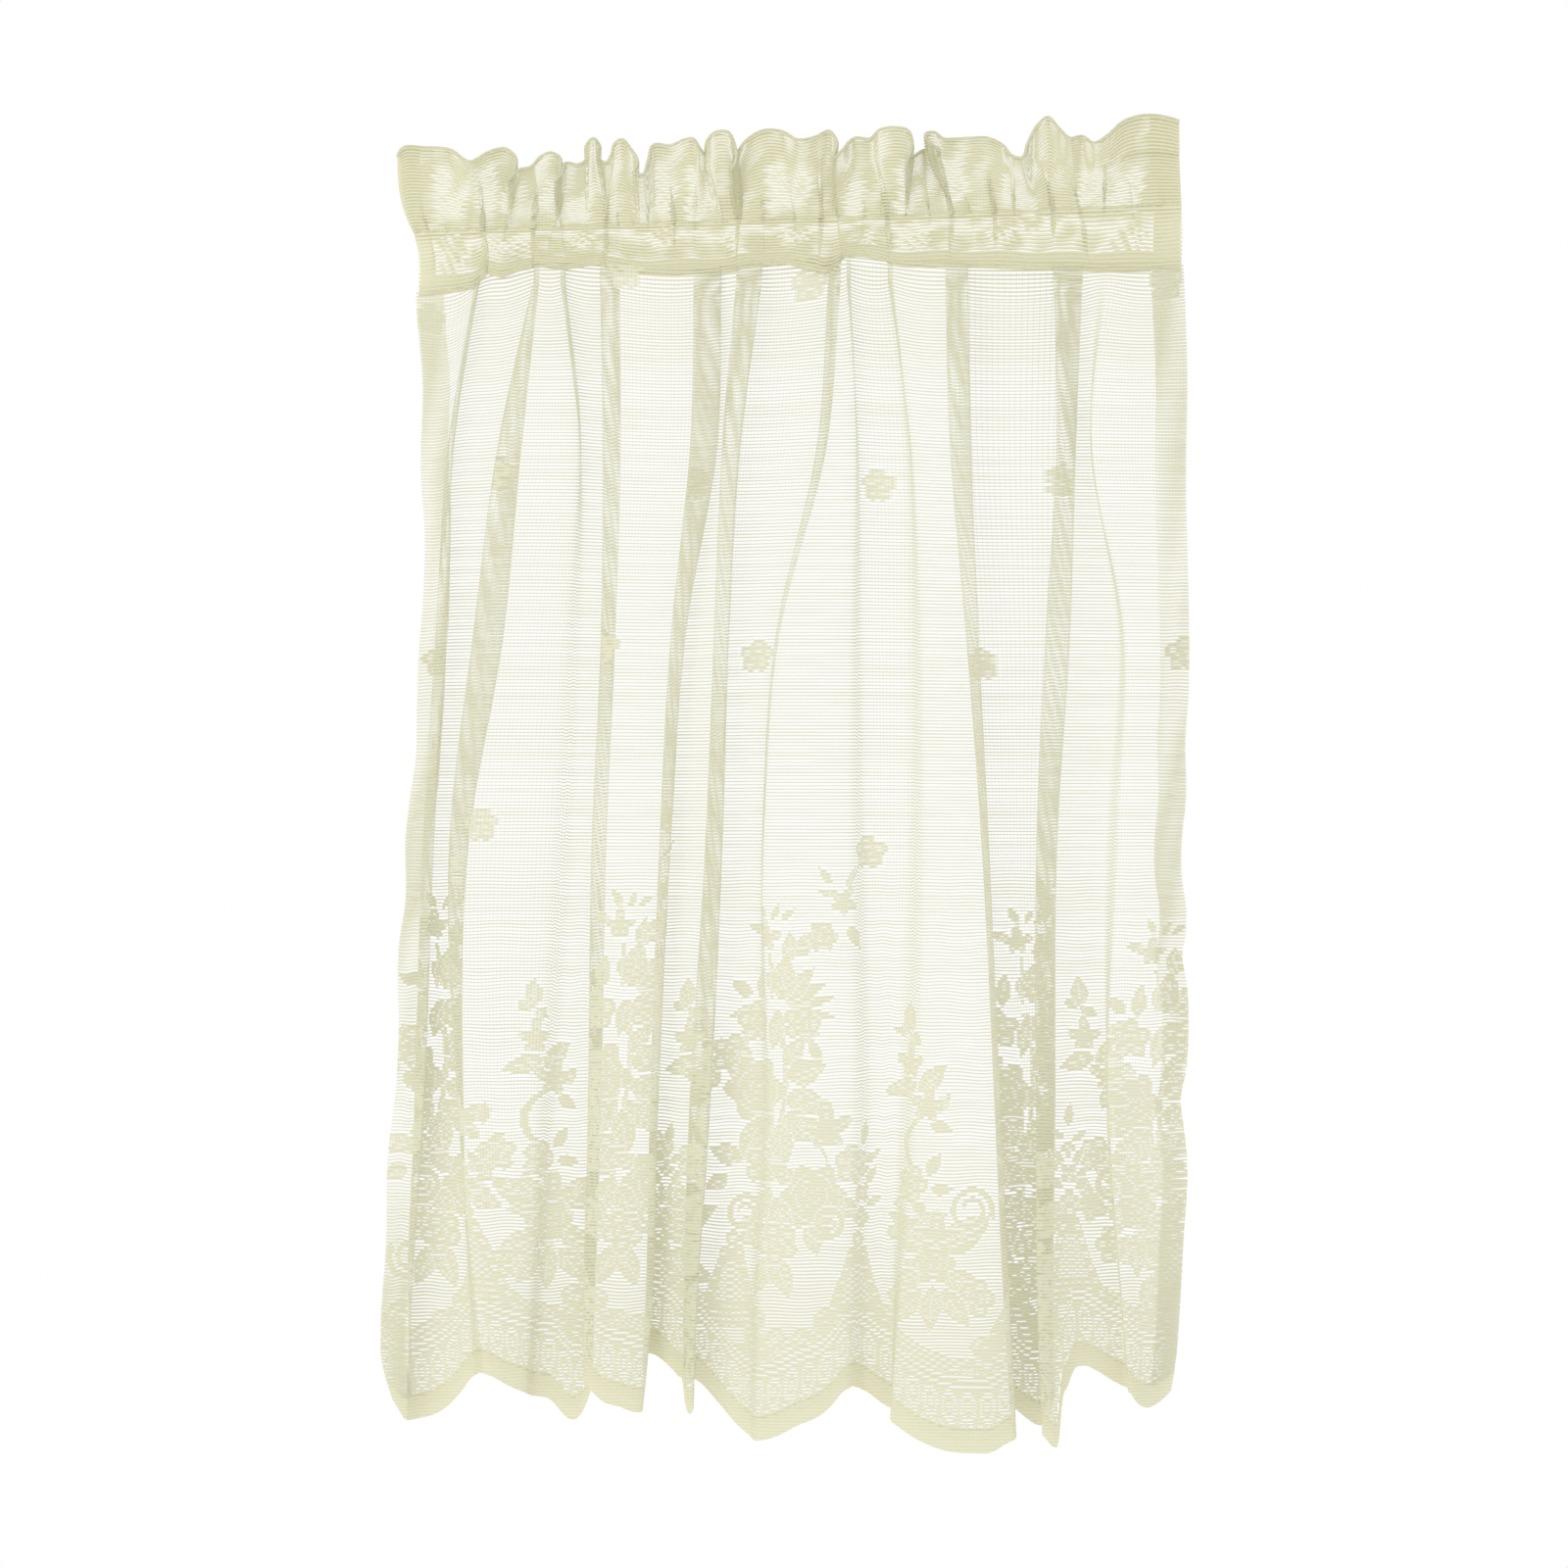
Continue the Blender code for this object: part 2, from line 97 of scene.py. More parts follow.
# The scalloped hem, with the dips that the folds leave in it: how far along the flat cloth, how far
# down. After it the two lines sewn across the heading.
HEM = (
    (0, 729.4), (3, 733.9), (8, 738.2), (14, 740.4), (20, 741.0), (32, 740.6), (39, 738.6), (47, 734.2),
    (56, 726.1), (64, 717.1), (70, 714.5), (76, 713.7), (84, 714.5), (96, 719.9), (114, 725.8),
    (132, 729.4), (152.7, 733.9), (154.5, 728), (158, 720.5), (166, 718.5), (172, 718.2), (176, 719.9),
    (181, 724.9), (187, 729.4), (197, 732.2), (210, 735.6), (214, 735.1), (221, 720.4), (229, 704.7),
    (236, 703.6), (256, 715.9), (259, 719), (260.3, 728), (262.5, 735.5), (264.8, 736.7), (266.8, 732),
    (268.3, 722), (273, 719.5), (284, 718.2), (293, 719.9), (305, 732.2), (315, 743.5), (323, 749.7),
    (330, 752.5), (337, 752.2), (345, 750.2), (358, 743.5), (372, 736.7), (378, 731.1), (383, 724.9),
    (390, 721.6), (399, 724.4), (414, 734.5), (420, 736.2), (428, 740.1), (432, 742.4), (445, 750.8),
    (460, 757.0), (473, 758.1), (482, 757.6), (489, 753.1), (497, 749.1), (503, 744.6), (514, 733.9),
    (517, 735.6), (524, 741.2), (533, 745.7), (538, 744.1), (543, 729.4), (548, 728.9), (556, 736.2),
    (566, 748.0), (568, 748.6), (571, 751.9), (574.5, 755.3), (577, 753.6), (578.5, 742.9), (580, 730.6),
    (584, 720.4), (588.5, 710.9), (594, 709.2), (602, 712.6), (613, 719.3), (620, 722.7), (626, 723.8),
    (632, 724.9), (636, 729.4), (642, 732.8), (655, 731.7), (661, 728.3), (664, 725.5), (667.5, 719.3))
STITCH_LINE = ((0, 60), (150, 55), (300, 50), (455, 44))
SEAM_LINE = ((0, 97), (34, 93), (52, 85), (66, 83), (80, 80), (125, 81), (169, 83), (214, 79),
             (262, 76), (300, 80), (397, 81), (460, 81))

# The pocket's lower edge as its gathers leave it. After it, for how far down a place is, how far in
# the heading's left side slants there.
POCKET_EDGE = ((0, 97), (36, 93), (42, 91.5), (47, 85), (62, 85.5), (74, 81.5), (80, 80), (100, 81),
               (119, 79), (130, 82.5), (160, 84.5), (172, 83.8), (196, 82.3), (213, 79), (222, 78),
               (246, 82.5), (252, 82.5), (257, 77.5), (283, 77), (290, 79), (317, 79.6), (360, 81),
               (390, 82), (436, 82), (454, 80.7))
SIDE_SLANT = ((15, 1), (33, 3), (47, 6), (60, 9), (72, 12), (97, 12))
SLANT_REACH = 70.0         # how far in from that side the slant moves the cloth
HEADING_LEFT = 2.0         # where the heading's left side stands before it slants
HEADING_WIDENS = 3.0       # how far its right side stands out at the pocket
WIDENS_FROM = 400.0        # place across from which it does
WIDENS_OVER = 50.0         # width over which it comes to that

# The ruffle's folded top edge, followed from the left side to the right: across, down and how far it
# leans back, minus being towards the viewer. It runs back over itself where the cloth loops.
TOP_EDGE = (
    (3, 16, 0), (5.5, 12, 0), (19, 11, 2), (32.5, 12, 2), (45, 19.5, -3), (56, 13.5, 0), (65, 11.5, 3),
    (70.5, 16, 3), (70.5, 23.5, -1), (67.5, 30, -5), (73, 24, -1), (79.5, 22, 2), (85.5, 16, 2),
    (91.5, 14, 1), (96, 16.5, 1), (96.5, 24, -2), (94.5, 31, -5), (97.5, 26.5, -3), (99.5, 20, 1),
    (107, 20.5, 3), (111.5, 17.5, 3), (111.5, 10, 1), (115.5, 6, -1), (119, 10, 1), (118.5, 17.5, 3),
    (123, 19.5, 2), (126, 15, 1), (128, 8.5, 1), (131.5, 6.5, 0), (136.5, 11.5, -1), (141, 20, -4),
    (139.5, 26.5, -6), (143.5, 27.5, -6), (147, 19, -2), (150, 9.5, 2), (160.5, 9.5, 3),
    (167.5, 6.5, 2), (172.5, 6, 0), (176.5, 11.5, 0), (179.5, 15, 3), (181, 7, 1), (186, 2.5, -2),
    (192.5, 2.5, -3), (196.5, 9.5, -2), (197, 18.5, -5), (194.5, 24, -6), (198, 15, 0),
    (203.5, 6.5, 3), (215, 0.5, 4), (223.5, 1.5, 3), (233.5, 7, -2), (243, 5, 0), (251, 1.5, 2),
    (255, 7, 0), (254, 18.5, -5), (258.5, 13, -3), (265.5, 5.5, 2), (274.5, 5.5, 4), (280, 1, 0),
    (288, 0, -3), (296, 2, -4), (298.5, 10, -4), (295.5, 20, -6), (300, 16, 0), (306.5, 12, 4),
    (313.5, 15.5, 4), (314, 13, -1), (307, 7, -3), (306, 4, -3), (310.5, 2.5, -2), (316, 6, -1),
    (323.5, 6, 1), (332, 5.5, 2), (342, 5.5, 2), (350, 9.5, 0), (356, 16.5, -4), (361, 17.5, -4),
    (365, 8.5, 1), (371, -2.5, 3), (376, -6.5, 2), (382.5, 0, 0), (389, 6, -2), (396, 4.5, 1),
    (403, 9, -3), (409.5, 5.5, -2), (420, -3.5, 0), (435.5, -7, 1), (444.5, -5.5, 0), (451.5, -3.5, 0))

# The lace itself, in millimetres.
PITCH = 1.9                # from one knitted row to the next
STITCH_WIDTH = 1.2         # from one stitch of a row to the next
# A fall, and the share of the pitch that is open there between the net's rows.
NET_OPEN = ((10, 0.54), (70, 0.66), (400, 0.68), (500, 0.65), (560, 0.54), (600, 0.42), (640, 0.38))
SLIT = 0.62                # width of the slits in the motifs
MOTIF_RIM = 0.2            # how much wider than usual the gaps right beside a motif are
SWAY = 0.8                 # how far the rows sway up and down between the motifs
SEAM_DOWN = 81.0           # how far down the pocket's seam is along most of the panel
FALL = 664.0               # from there to the base line of the hem's scallops
BELOW_BASE = 60.0          # how far below that line the rows are worked out
SEAM_FADE = 120.0          # fall over which the rows lose the seam's ups and downs
PATTERN_FROM = 315.0       # fall at which the patterned lace begins
PLAIN_STEP = 1.7           # spacing of the points along a row of plain net
PATTERN_STEP = 1.15        # the same in the patterned lace
EDGE_BAND = 14.0           # width of the solid band along the scallops
EDGE_LAP = 0.9             # how far the rows above reach behind that band
EDGE_ROWS = 9              # lines of points down the band
CROWDED = 0.85             # how far the net closes for the eye where it turns edge on
PILLAR_PITCH = 1.25        # from one fine upright thread of the net to the next
PILLAR_WIDTH = 0.07
PILLAR_POINTS = 150        # points down each thread
SKIN = 0.12                # how far the threads lie behind the rows, and the solid band before them
OUT_OF_STEP = 0.7          # how far the rows of neighbouring runs are out of step in a fold
SLIP_WAVE = 0.35           # how far they slip besides, in a slow wave
WANDER = 0.6               # how far the rows of a fold's middle layer wave up and down
SAG = 4.5                  # how far a run sags between its folds just below the pocket
SAG_FADE = 38.0            # fall over which that sag fades
SWAY_ONSET = 90.0          # fall over which the sway sets in below the plain net
SLIP_END = 60.0            # height above the base line over which the rows come level again
TUCKED_IN = 3.0            # how far the top of the net reaches up inside the pocket
PINCH = 0.45               # how much the stitches flatten the folds at the very top
PINCH_FALL = 14.0          # fall over which they open out again
ROW_UNEVEN = 0.045         # how unlike one another the gaps of the rows are
GAP_WAVES = (0.05, 0.04)   # how far a gap swells and narrows along its row, in two sines
CLOUDS = 26.0              # scale of the yarn's uneven colour, patches to a metre
RELIEF = 0.0004            # how far the dives between its stitches stand back, in metres
THROUGH = 0.3              # share of the light that comes through it

# The heading, in millimetres.
HEADING_COLUMNS = 880      # points along its rows
RUFFLE_COURSES = 27        # knitted rows from the stitches to the folded top
POCKET_COURSES = 16        # knitted rows from the stitches to the seam
HEADING_OPEN = 0.42        # share of the pitch that is open between its rows
GATHERED = 1.5             # flat cloth to each millimetre of the heading
LAYER_GAP = 1.1            # from the middle of the ruffle to either of its two layers
EDGE_EVEN = 0.2            # how far the top edge's places are drawn to even spacing at the stitches
EDGE_SOFT = 25             # how many of those places are averaged
CRIMP_FULL = 1.4           # strength of a crimp at the stitches, which is cut off at 1
CRIMP_SOFT = 1.5           # how much wider the crimps are than their table says
CRIMP_PUSH = 0.48          # how far a crimp pushes the cloth to the back or the front
PUCKER_FADE = 8.0          # distance from the stitches over which their small gathers die away
RUFFLE_OPENS = 1.6         # power of the height by which the ruffle opens to its top edge
ROLL = 1.25                # radius of the roll along the ruffle's folded top
POCKET_DEPTH = 7.6         # from the pocket's middle to the middle of either wall
POCKET_FROM = 56.0         # how far down the pocket's part of the heading begins
CORNER_FROM = 404.0        # where the ruffle's right corner begins, which is creased and stands forward
CORNER_CREASE = 0.62       # height in the ruffle of its crease
CORNER_DROP = 2.2          # how far it hangs down at the crease
CORNER_FRONT = (2.0, 3.0)  # how far it stands forward at the crease, and further at its top
POCKET_BLUNT = 1.2         # power that makes the pocket's arch a little pointed
ALLOWANCE = 0.64           # height in the pocket from which the turned-in allowance thickens it
SIDE_HEM = 15.5            # width of the doubled cloth at either side of the heading

# The panel's side hems, in millimetres.
LEFT_HEM = (16.5, 15.0)    # width of the left one at the pocket and at the scallops
RIGHT_HEM = (19.5, 14.0)
HEM_INSET = 0.6            # how far in from the panel's side a hem begins
HEM_SEARCH = 60            # flat width in which its inner line is looked for
HEM_COLUMNS = 22           # points along its rows
HEM_FROM = -1.2            # fall at which the hems begin, inside the pocket
HEM_BEHIND = 0.7           # how far they lie behind the front layer
HEM_DENSER = 0.3           # how far the second turn closes their gaps
HEM_THINS = (400, 500)     # falls between which they thin out
LEFT_THIN = 0.6            # how much wider than the net's the gaps then are
RIGHT_THIN = 0.2
SIDE_SHIFT = 0.5           # how far down their rows are shifted against those in front
SIDE_RIPPLE = 0.35         # how far they ripple about that
SIDE_DRIFT = 0.5           # how far they drift besides, all down the hem


def hermite(start, end, start_slope, end_slope, t):
    """Cubic from start to end that leaves and arrives with the given slopes, t from 0 to 1."""
    return ((2 * t**3 - 3 * t**2 + 1) * start + (t**3 - 2 * t**2 + t) * start_slope
            + (3 * t**2 - 2 * t**3) * end + (t**3 - t**2) * end_slope)


def smooth(knots, values, at):
    """Smooth curve through the values at the knots, each slope taken from the two neighbours."""
    knots, values = np.asarray(knots, float), np.asarray(values, float)
    slopes = np.gradient(values, knots)
    at = np.clip(at, knots[0], knots[-1])
    k = np.clip(np.searchsorted(knots, at) - 1, 0, len(knots) - 2)
    span = knots[k + 1] - knots[k]
    return hermite(values[k], values[k + 1], slopes[k] * span, slopes[k + 1] * span,
                   (at - knots[k]) / span)


def follow(pairs, at):
    """Smooth curve through a table of pairs: its second value for any first one."""
    firsts, seconds = zip(*pairs)
    return smooth(firsts, seconds, at)


def depth_share(down):
    """Folds deepen from the seam to the hem: their depth there as a share of the hem's."""
    fallen = np.clip((down - LEVELS[0]) / (LEVELS[-1] - LEVELS[0]), 0, 1)
    return TOP_DEPTH + (1 - TOP_DEPTH) * fallen**DEEPENING


def station(number, down):
    """Across, back and heading of the cloth's section at one of its stations, for each height. These
    are the panel's two sides and, for each fold, the two places where the cloth turns: half the lap
    past its middle and half the lap before it."""
    if number == 0 or number == 2 * len(FOLDS) + 1:
        side = LEFT_SIDE if number == 0 else RIGHT_SIDE
        return follow(side, down), 0 * down, 1 + 0 * down, 0 * down
    fold = FOLDS[(number - 1) // 2]
    centre, lap = smooth(LEVELS, fold.centre, down), smooth(LEVELS, fold.lap, down)
    share = depth_share(down)
    before, after = fold.back
    rise = (after - before) * share
    onward = np.maximum(-lap, 0) * WAVE_SLANT
    length = np.hypot(onward, rise)
    if number % 2:
        return centre + lap / 2, before * share, onward / length, rise / length
    return centre - lap / 2, after * share, onward / length, rise / length


def section(span, t, down):
    """Across and back of the cloth at t along one span of its section: a Hermite curve between two
    stations, whose slopes swell it out."""
    x0, y0, ax, ay = station(span, down)
    x1, y1, bx, by = station(span + 1, down)
    if span % 2:
        pull = TURN_SWELL * np.abs(y1 - y0) + WAVE_SWELL * np.maximum(x1 - x0, 0)
        lift = pull
    else:
        fading = STEADY_SWELL + (1 - STEADY_SWELL) * depth_share(down)
        pull = RUN_SWELL * (x1 - x0) + RUN_ROUND
        lift = RUN_SWELL * (x1 - x0) * fading + RUN_ROUND
    return hermite(x0, x1, ax * pull, bx * pull, t), hermite(y0, y1, ay * lift, by * lift, t)


SPANS = 2 * len(FOLDS) + 1
SPAN_STEPS = 40            # steps along each span when the cloth is measured


def measured_section():
    """Flat place of fine steps along each span, from the section's length just above the hem."""
    level = np.full(SPAN_STEPS + 1, float(LEVELS[-2]))
    t = np.linspace(0, 1, SPAN_STEPS + 1)
    runs = [np.stack(section(span, t, level)) for span in range(SPANS)]
    lengths = [np.hypot(*np.diff(run, axis=1)) for run in runs]
    return np.concatenate(([0.0], np.cumsum(np.concatenate(lengths))))


FLAT_MARKS = measured_section()
FLAT_WIDTH = FLAT_MARKS[-1]


def along_section(flat):
    """The span of the section and the place along it of a flat place."""
    part = np.interp(flat, FLAT_MARKS, np.arange(len(FLAT_MARKS)) / SPAN_STEPS)
    span = np.clip(part.astype(int), 0, SPANS - 1)
    return span, part - span


def on_section(span, t, down):
    """Across and back of many places at once, each on its own span and at its own height."""
    across, back = np.zeros_like(down), np.zeros_like(down)
    for number in range(SPANS):
        here = span == number
        across[here], back[here] = section(number, t[here], down[here])
    return across, back


def top_down(span, t):
    """How far down the pocket's seam is over a place of the section, read off its line where the
    place would be if the heading's left side didn't slant in."""
    level = np.full(np.shape(t), float(LEVELS[0]))
    across = on_section(span, t, level)[0]
    inward = SIDE_SLANT[-1][1]
    before = (across - inward * (1 + HEADING_LEFT / SLANT_REACH)) / (1 - inward / SLANT_REACH)
    return follow(SEAM_LINE, np.minimum(before, across))


def hem_fall(flat):
    """Fall of the scalloped edge at a flat place, a smooth curve through its table."""
    return follow(HEM, flat) - SEAM_DOWN


def run_slip(run, fall):
    """How far down one run of the cloth has slipped, by its number: every second run alike, with a
    slow wave besides that differs from run to run."""
    return OUT_OF_STEP * (run % 2) + SLIP_WAVE * np.sin(1.7 * run + fall / 47)


def slip(span, t, fall):
    """How far a place lies below its even fall. Each run has slipped against the run before it, which
    puts the rows of a fold's layers out of step, and the middle layer ripples as a sine. A run sags
    between its folds below the pocket, and the patterned rows sway as two sines that cross."""
    fallen = np.clip(fall / FALL, 0, 1)
    turned = (span + 1) // 2 - 1 + np.where(span % 2 == 1, hermite(0, 1, 0, 0, t), 1)
    whole = np.floor(turned)
    step = turned - whole
    here, there = run_slip(whole, fall), run_slip(whole + 1, fall)
    ripple = WANDER * np.sin(4 * np.pi * t + fall / 5) * np.sin(np.pi * t) * (span % 2)
    even = (here * (1 - step) + there * step + ripple) * np.minimum(fallen * 12, 1)
    sag = np.where(span % 2 == 0, SAG * np.sin(np.pi * t)**2, 0)
    sag = sag * np.exp(-np.maximum(fall, 0) / SAG_FADE)
    place = span * 37 + 60 * t
    sway = SWAY * np.sin(place / 6.3 + fall / 19) * np.sin(fall / 11 - place / 23) * np.sin(np.pi * t)
    swayed = sway * np.clip((fall - PATTERN_FROM) / SWAY_ONSET, 0, 1)
    return (even + swayed) * np.clip((FALL - fall) / SLIP_END, 0, 1) + sag * np.clip(fall / 12, 0, 1)


def hang(flat, fall):
    """Where a place of the flat cloth hangs, as across, back and down in the last axis.

    Down is the fall below an even seam, and the real seam's ups and downs fade below it as an
    exponential. Across and back are the section's at that height, flattened near the stitches.
    """
    flat, fall = np.broadcast_arrays(flat, fall)
    span, t = along_section(flat)
    down = SEAM_DOWN + fall + (top_down(span, t) - SEAM_DOWN) * np.exp(-np.maximum(fall, 0) / SEAM_FADE)
    across, back = on_section(span, t, down)
    down = down + slip(span, t, fall)
    back = back * (1 - PINCH * np.exp(-(np.maximum(fall, 0) / PINCH_FALL)**2))
    return np.stack([across, back, down], axis=-1)


def lifted(flat, fall, lift):
    """A place on the hanging cloth, moved out along the cloth's normal, plus being to its front."""
    reach = 0.4
    along = hang(flat + reach, fall) - hang(flat - reach, fall)
    below = hang(flat, fall + reach) - hang(flat, fall - reach)
    normal = np.cross(along, below)
    normal = normal / np.linalg.norm(normal, axis=-1, keepdims=True)
    return hang(flat, fall) - normal * np.asarray(lift)[..., None]


def to_world(points):
    """Across, back and down in millimetres to world points in metres."""
    return np.stack([points[..., 0] - ORIGIN_ACROSS, points[..., 1], -points[..., 2]], axis=-1) * MM


# A row for each pinch that the stitches press into the heading: where it is at the stitches, how far
# it drifts to the right for each millimetre of rise, its half width, how far the cloth slides over
# itself there, and how high above the stitches and how far below them it runs.
Crimp = namedtuple("Crimp", "across drift width slide up below")
CRIMPS = tuple(Crimp(*row) for row in (
    (14, 0.02, 1.6, 2.6, 26, 40), (49.5, -0.04, 2.4, 6.5, 30, 46), (64, 0.08, 0.9, 2.2, 14, 24),
    (81, 0.02, 2.8, 7.5, 34, 40), (92, 0.10, 1.8, 4.6, 30, 34), (98, -0.06, 2.0, 5.0, 22, 30),
    (123, 0.03, 3.0, 8.0, 36, 40), (132, -0.03, 1.5, 3.8, 32, 26), (147, 0.05, 0.9, 2.0, 18, 12),
    (162, -0.03, 2.4, 6.2, 40, 22), (174, 0.04, 1.6, 3.8, 26, 30), (188, -0.08, 2.2, 5.6, 34, 36),
    (199, 0.05, 3.4, 9.0, 40, 40), (214, 0.03, 1.6, 3.6, 30, 26), (231, -0.02, 1.4, 3.0, 24, 20),
    (246, 0.03, 3.0, 8.0, 42, 42), (257, -0.05, 2.2, 5.8, 40, 40), (270, 0.10, 1.4, 3.2, 22, 14),
    (284, -0.05, 3.4, 9.0, 34, 34), (296, 0.06, 2.0, 5.0, 30, 26), (308, 0.02, 1.2, 2.6, 26, 20),
    (321, 0.04, 3.2, 8.4, 34, 40), (333, -0.08, 2.2, 5.4, 26, 34), (346, -0.03, 3.0, 7.8, 36, 44),
    (358, 0.08, 1.6, 4.2, 34, 16), (379, -0.05, 3.4, 9.0, 30, 30), (395, -0.16, 3.2, 8.2, 20, 46),
    (409, 0.10, 1.2, 2.8, 30, 14), (425, -0.06, 1.0, 2.2, 22, 20)))

# Where the rows of the heading's two layers lie in step, so that light comes through between them: a
# row for each patch, with its place across and down and its half width and half height.
Glimpse = namedtuple("Glimpse", "across down wide high")
GLIMPSES = tuple(Glimpse(*row) for row in (
    (34, 37, 9, 16), (34, 72, 10, 14), (54, 34, 7, 14), (57, 67, 6, 7), (70, 42, 8, 9), (72, 68, 8, 7),
    (92, 40, 5, 14), (107, 48, 6, 8), (109, 64, 8, 6), (150, 36, 11, 17), (156, 61, 9, 6),
    (176, 40, 7, 17), (196, 64, 5, 6), (228, 34, 13, 14), (232, 60, 9, 6), (266, 40, 6, 12),
    (273, 62, 6, 6), (297, 38, 7, 14), (300, 64, 9, 6), (322, 30, 8, 12), (350, 58, 8, 8),
    (366, 50, 6, 9), (358, 36, 7, 11), (402, 34, 8, 14), (421, 36, 9, 17), (424, 62, 12, 12)))

# The chart of the patterned lace. A row for each piece of a motif: its kind, where its root or middle
# is to the right of the motif's axis and above the hem's base line, which way it points in degrees
# from the right, how long it is or how far it reaches, and its size, which its function explains.
Mark = namedtuple("Mark", "kind right rise turn reach size")
BOUQUET = tuple(Mark(*row) for row in (
    ("leaf", -3, 292, 120, 12, 5), ("leaf", 1, 292, 62, 10, 4), ("leaf", 6, 292, 38, 11, 4),
    ("leaf", -8, 284, 168, 13, 6), ("maple", -4, 281, 90, 11, 5), ("leaf", 9, 268, 84, 18, 10),
    ("leaf", 13, 272, 30, 11, 7), ("leaf", 20, 281, 198, 9, 7), ("rose", 26, 282, 0, 9.5, 3),
    ("leaf", 38, 288, -55, 16, 8), ("leaf", 30, 312, 128, 12, 5), ("leaf", 37, 310, 62, 13, 5),
    ("leaf", 31, 306, 168, 9, 5), ("maple", 35, 301, 60, 11, 5), ("stem", 38, 308, 62, 26, 1.6),
    ("stem", -2, 272, -88, 26, 2.2), ("leaf", -3, 262, -80, 14, 6), ("stem", 0, 240, -90, 140, 3),
    ("leaf", 2, 240, -102, 24, 10), ("leaf", 6, 238, -34, 23, 9), ("leaf", 7, 241, -12, 27, 7),
    ("leaf", 7, 243, 8, 28, 7), ("leaf", 6, 245, 25, 27, 8), ("leaf", 5, 246, 46, 26, 10),
    ("leaf", 3, 246, 78, 27, 14), ("bloom", 14, 232, 0, 11, 5), ("leaf", 19, 223, -70, 16, 7),
    ("leaf", -14, 245, 82, 20, 9), ("leaf", -20, 248, 150, 14, 8), ("leaf", -17, 240, 196, 16, 8),
    ("bloom", -17, 232, 20, 12, 5), ("leaf", -22, 219, 160, 13, 7), ("leaf", -37, 206, 240, 15.9, 10.4),
    ("bloom", -31, 213, 0, 12.2, 5), ("leaf", 4, 208, 56, 20.7, 10.4), ("leaf", 5, 201, 22, 24.4, 15.6),
    ("leaf", 4, 190, -14, 25.6, 16.9), ("leaf", 3, 180, -42, 24.4, 15.6),
    ("rose", -15, 194, 0, 20.7, 3), ("leaf", -3, 180, 226, 31.7, 16.9),
    ("leaf", -14, 178, 248, 29.3, 14.3), ("leaf", 0, 174, -82, 26.8, 14.3),
    ("maple", 28, 171, 95, 18.3, 5), ("stem", 25, 160, -62, 14, 1.8),
    ("leaf", -24, 153, 160, 20.7, 11.7), ("leaf", -31, 144, 212, 15.9, 10.4),
    ("bloom", -11, 150, 0, 12.2, 5), ("leaf", 3, 152, -148, 18.3, 11.7),
    ("leaf", 12, 141, 150, 18.3, 10.4), ("leaf", 34, 143, 32, 17.1, 10.4),
    ("leaf", 34, 128, -20, 18.3, 10.4), ("leaf", 22, 119, -80, 20.7, 13), ("rose", 22, 133, 0, 19.5, 3),
    ("bloom", 44, 152, 20, 11, 5), ("leaf", -4, 138, 250, 25.6, 13), ("leaf", 0, 132, -70, 25.6, 11.7),
    ("bloom", -14, 112, 0, 11, 5), ("leaf", -1, 99, -114, 26.8, 13), ("leaf", 1, 99, -66, 26.8, 13),
    ("bloom", 3, 106, 45, 12.2, 5)))
SPRIG = tuple(Mark(*row) for row in (
    ("leaf", 0, 240, 165, 10, 6), ("leaf", 2, 239, -22, 11, 7), ("leaf", 1, 240, 92, 18, 11),
    ("stem", 2, 240, -86, 18, 1.8), ("maple", 3, 222, 90, 13, 5), ("leaf", 9, 211, 196, 23, 11),
    ("leaf", 10, 207, 38, 25, 13), ("arc", 33, 177, 180, 21, 0.85), ("leaf", 22, 190, -22, 15, 8),
    ("leaf", 26, 196, 50, 14, 8), ("maple", 19, 199, 84, 14, 5), ("leaf", 21, 160, 58, 15, 8),
    ("leaf", 24, 152, 4, 14, 7), ("bloom", 9, 154, 0, 11, 5), ("leaf", 14, 145, -62, 12, 8),
    ("leaf", 2, 146, 215, 10, 6), ("leaf", 18, 132, 20, 18, 10), ("maple", 5, 126, 112, 17, 5),
    ("leaf", 10, 112, -40, 16, 9), ("bloom", 24, 118, 20, 10, 5)))
WINGS = tuple(Mark(*row) for row in (
    ("leaf", 2, 16, 30, 36, 18), ("leaf", -2, 16, 150, 36, 18), ("maple", 0, 20, 90, 18, 5),
    ("leaf", 4, 2, -22, 32, 14), ("leaf", -4, 2, 202, 30, 14), ("rose", 0, 8, 0, 13, 3),
    ("bloom", 26, -12, 0, 11, 5), ("bloom", -24, -14, 20, 11, 5), ("leaf", 6, -8, -50, 26, 12),
    ("leaf", -6, -8, 230, 26, 12), ("leaf", 0, -6, -90, 26, 12)))
BERRIES = tuple(Mark(*row) for row in (
    ("leaf", 0, 38, 80, 14, 6), ("leaf", -2, 30, 145, 10, 5), ("leaf", 2, 28, 30, 12, 5),
    ("bloom", 0, 24, 0, 5, 4), ("leaf", 3, 15, 55, 12, 5), ("leaf", -3, 15, 125, 12, 5),
    ("bloom", 0, 10, 45, 6, 4), ("leaf", 4, 2, 35, 11, 5), ("leaf", -4, 2, 145, 11, 5),
    ("bloom", 0, -4, 0, 6, 4)))

# The bouquet at the left side without the leaves and the spray that would reach past its fold.
SIDE_BOUQUET = tuple(mark for mark in BOUQUET
                     if mark.rise < 200 or mark.right + mark.reach * np.cos(radians(mark.turn)) < 30)

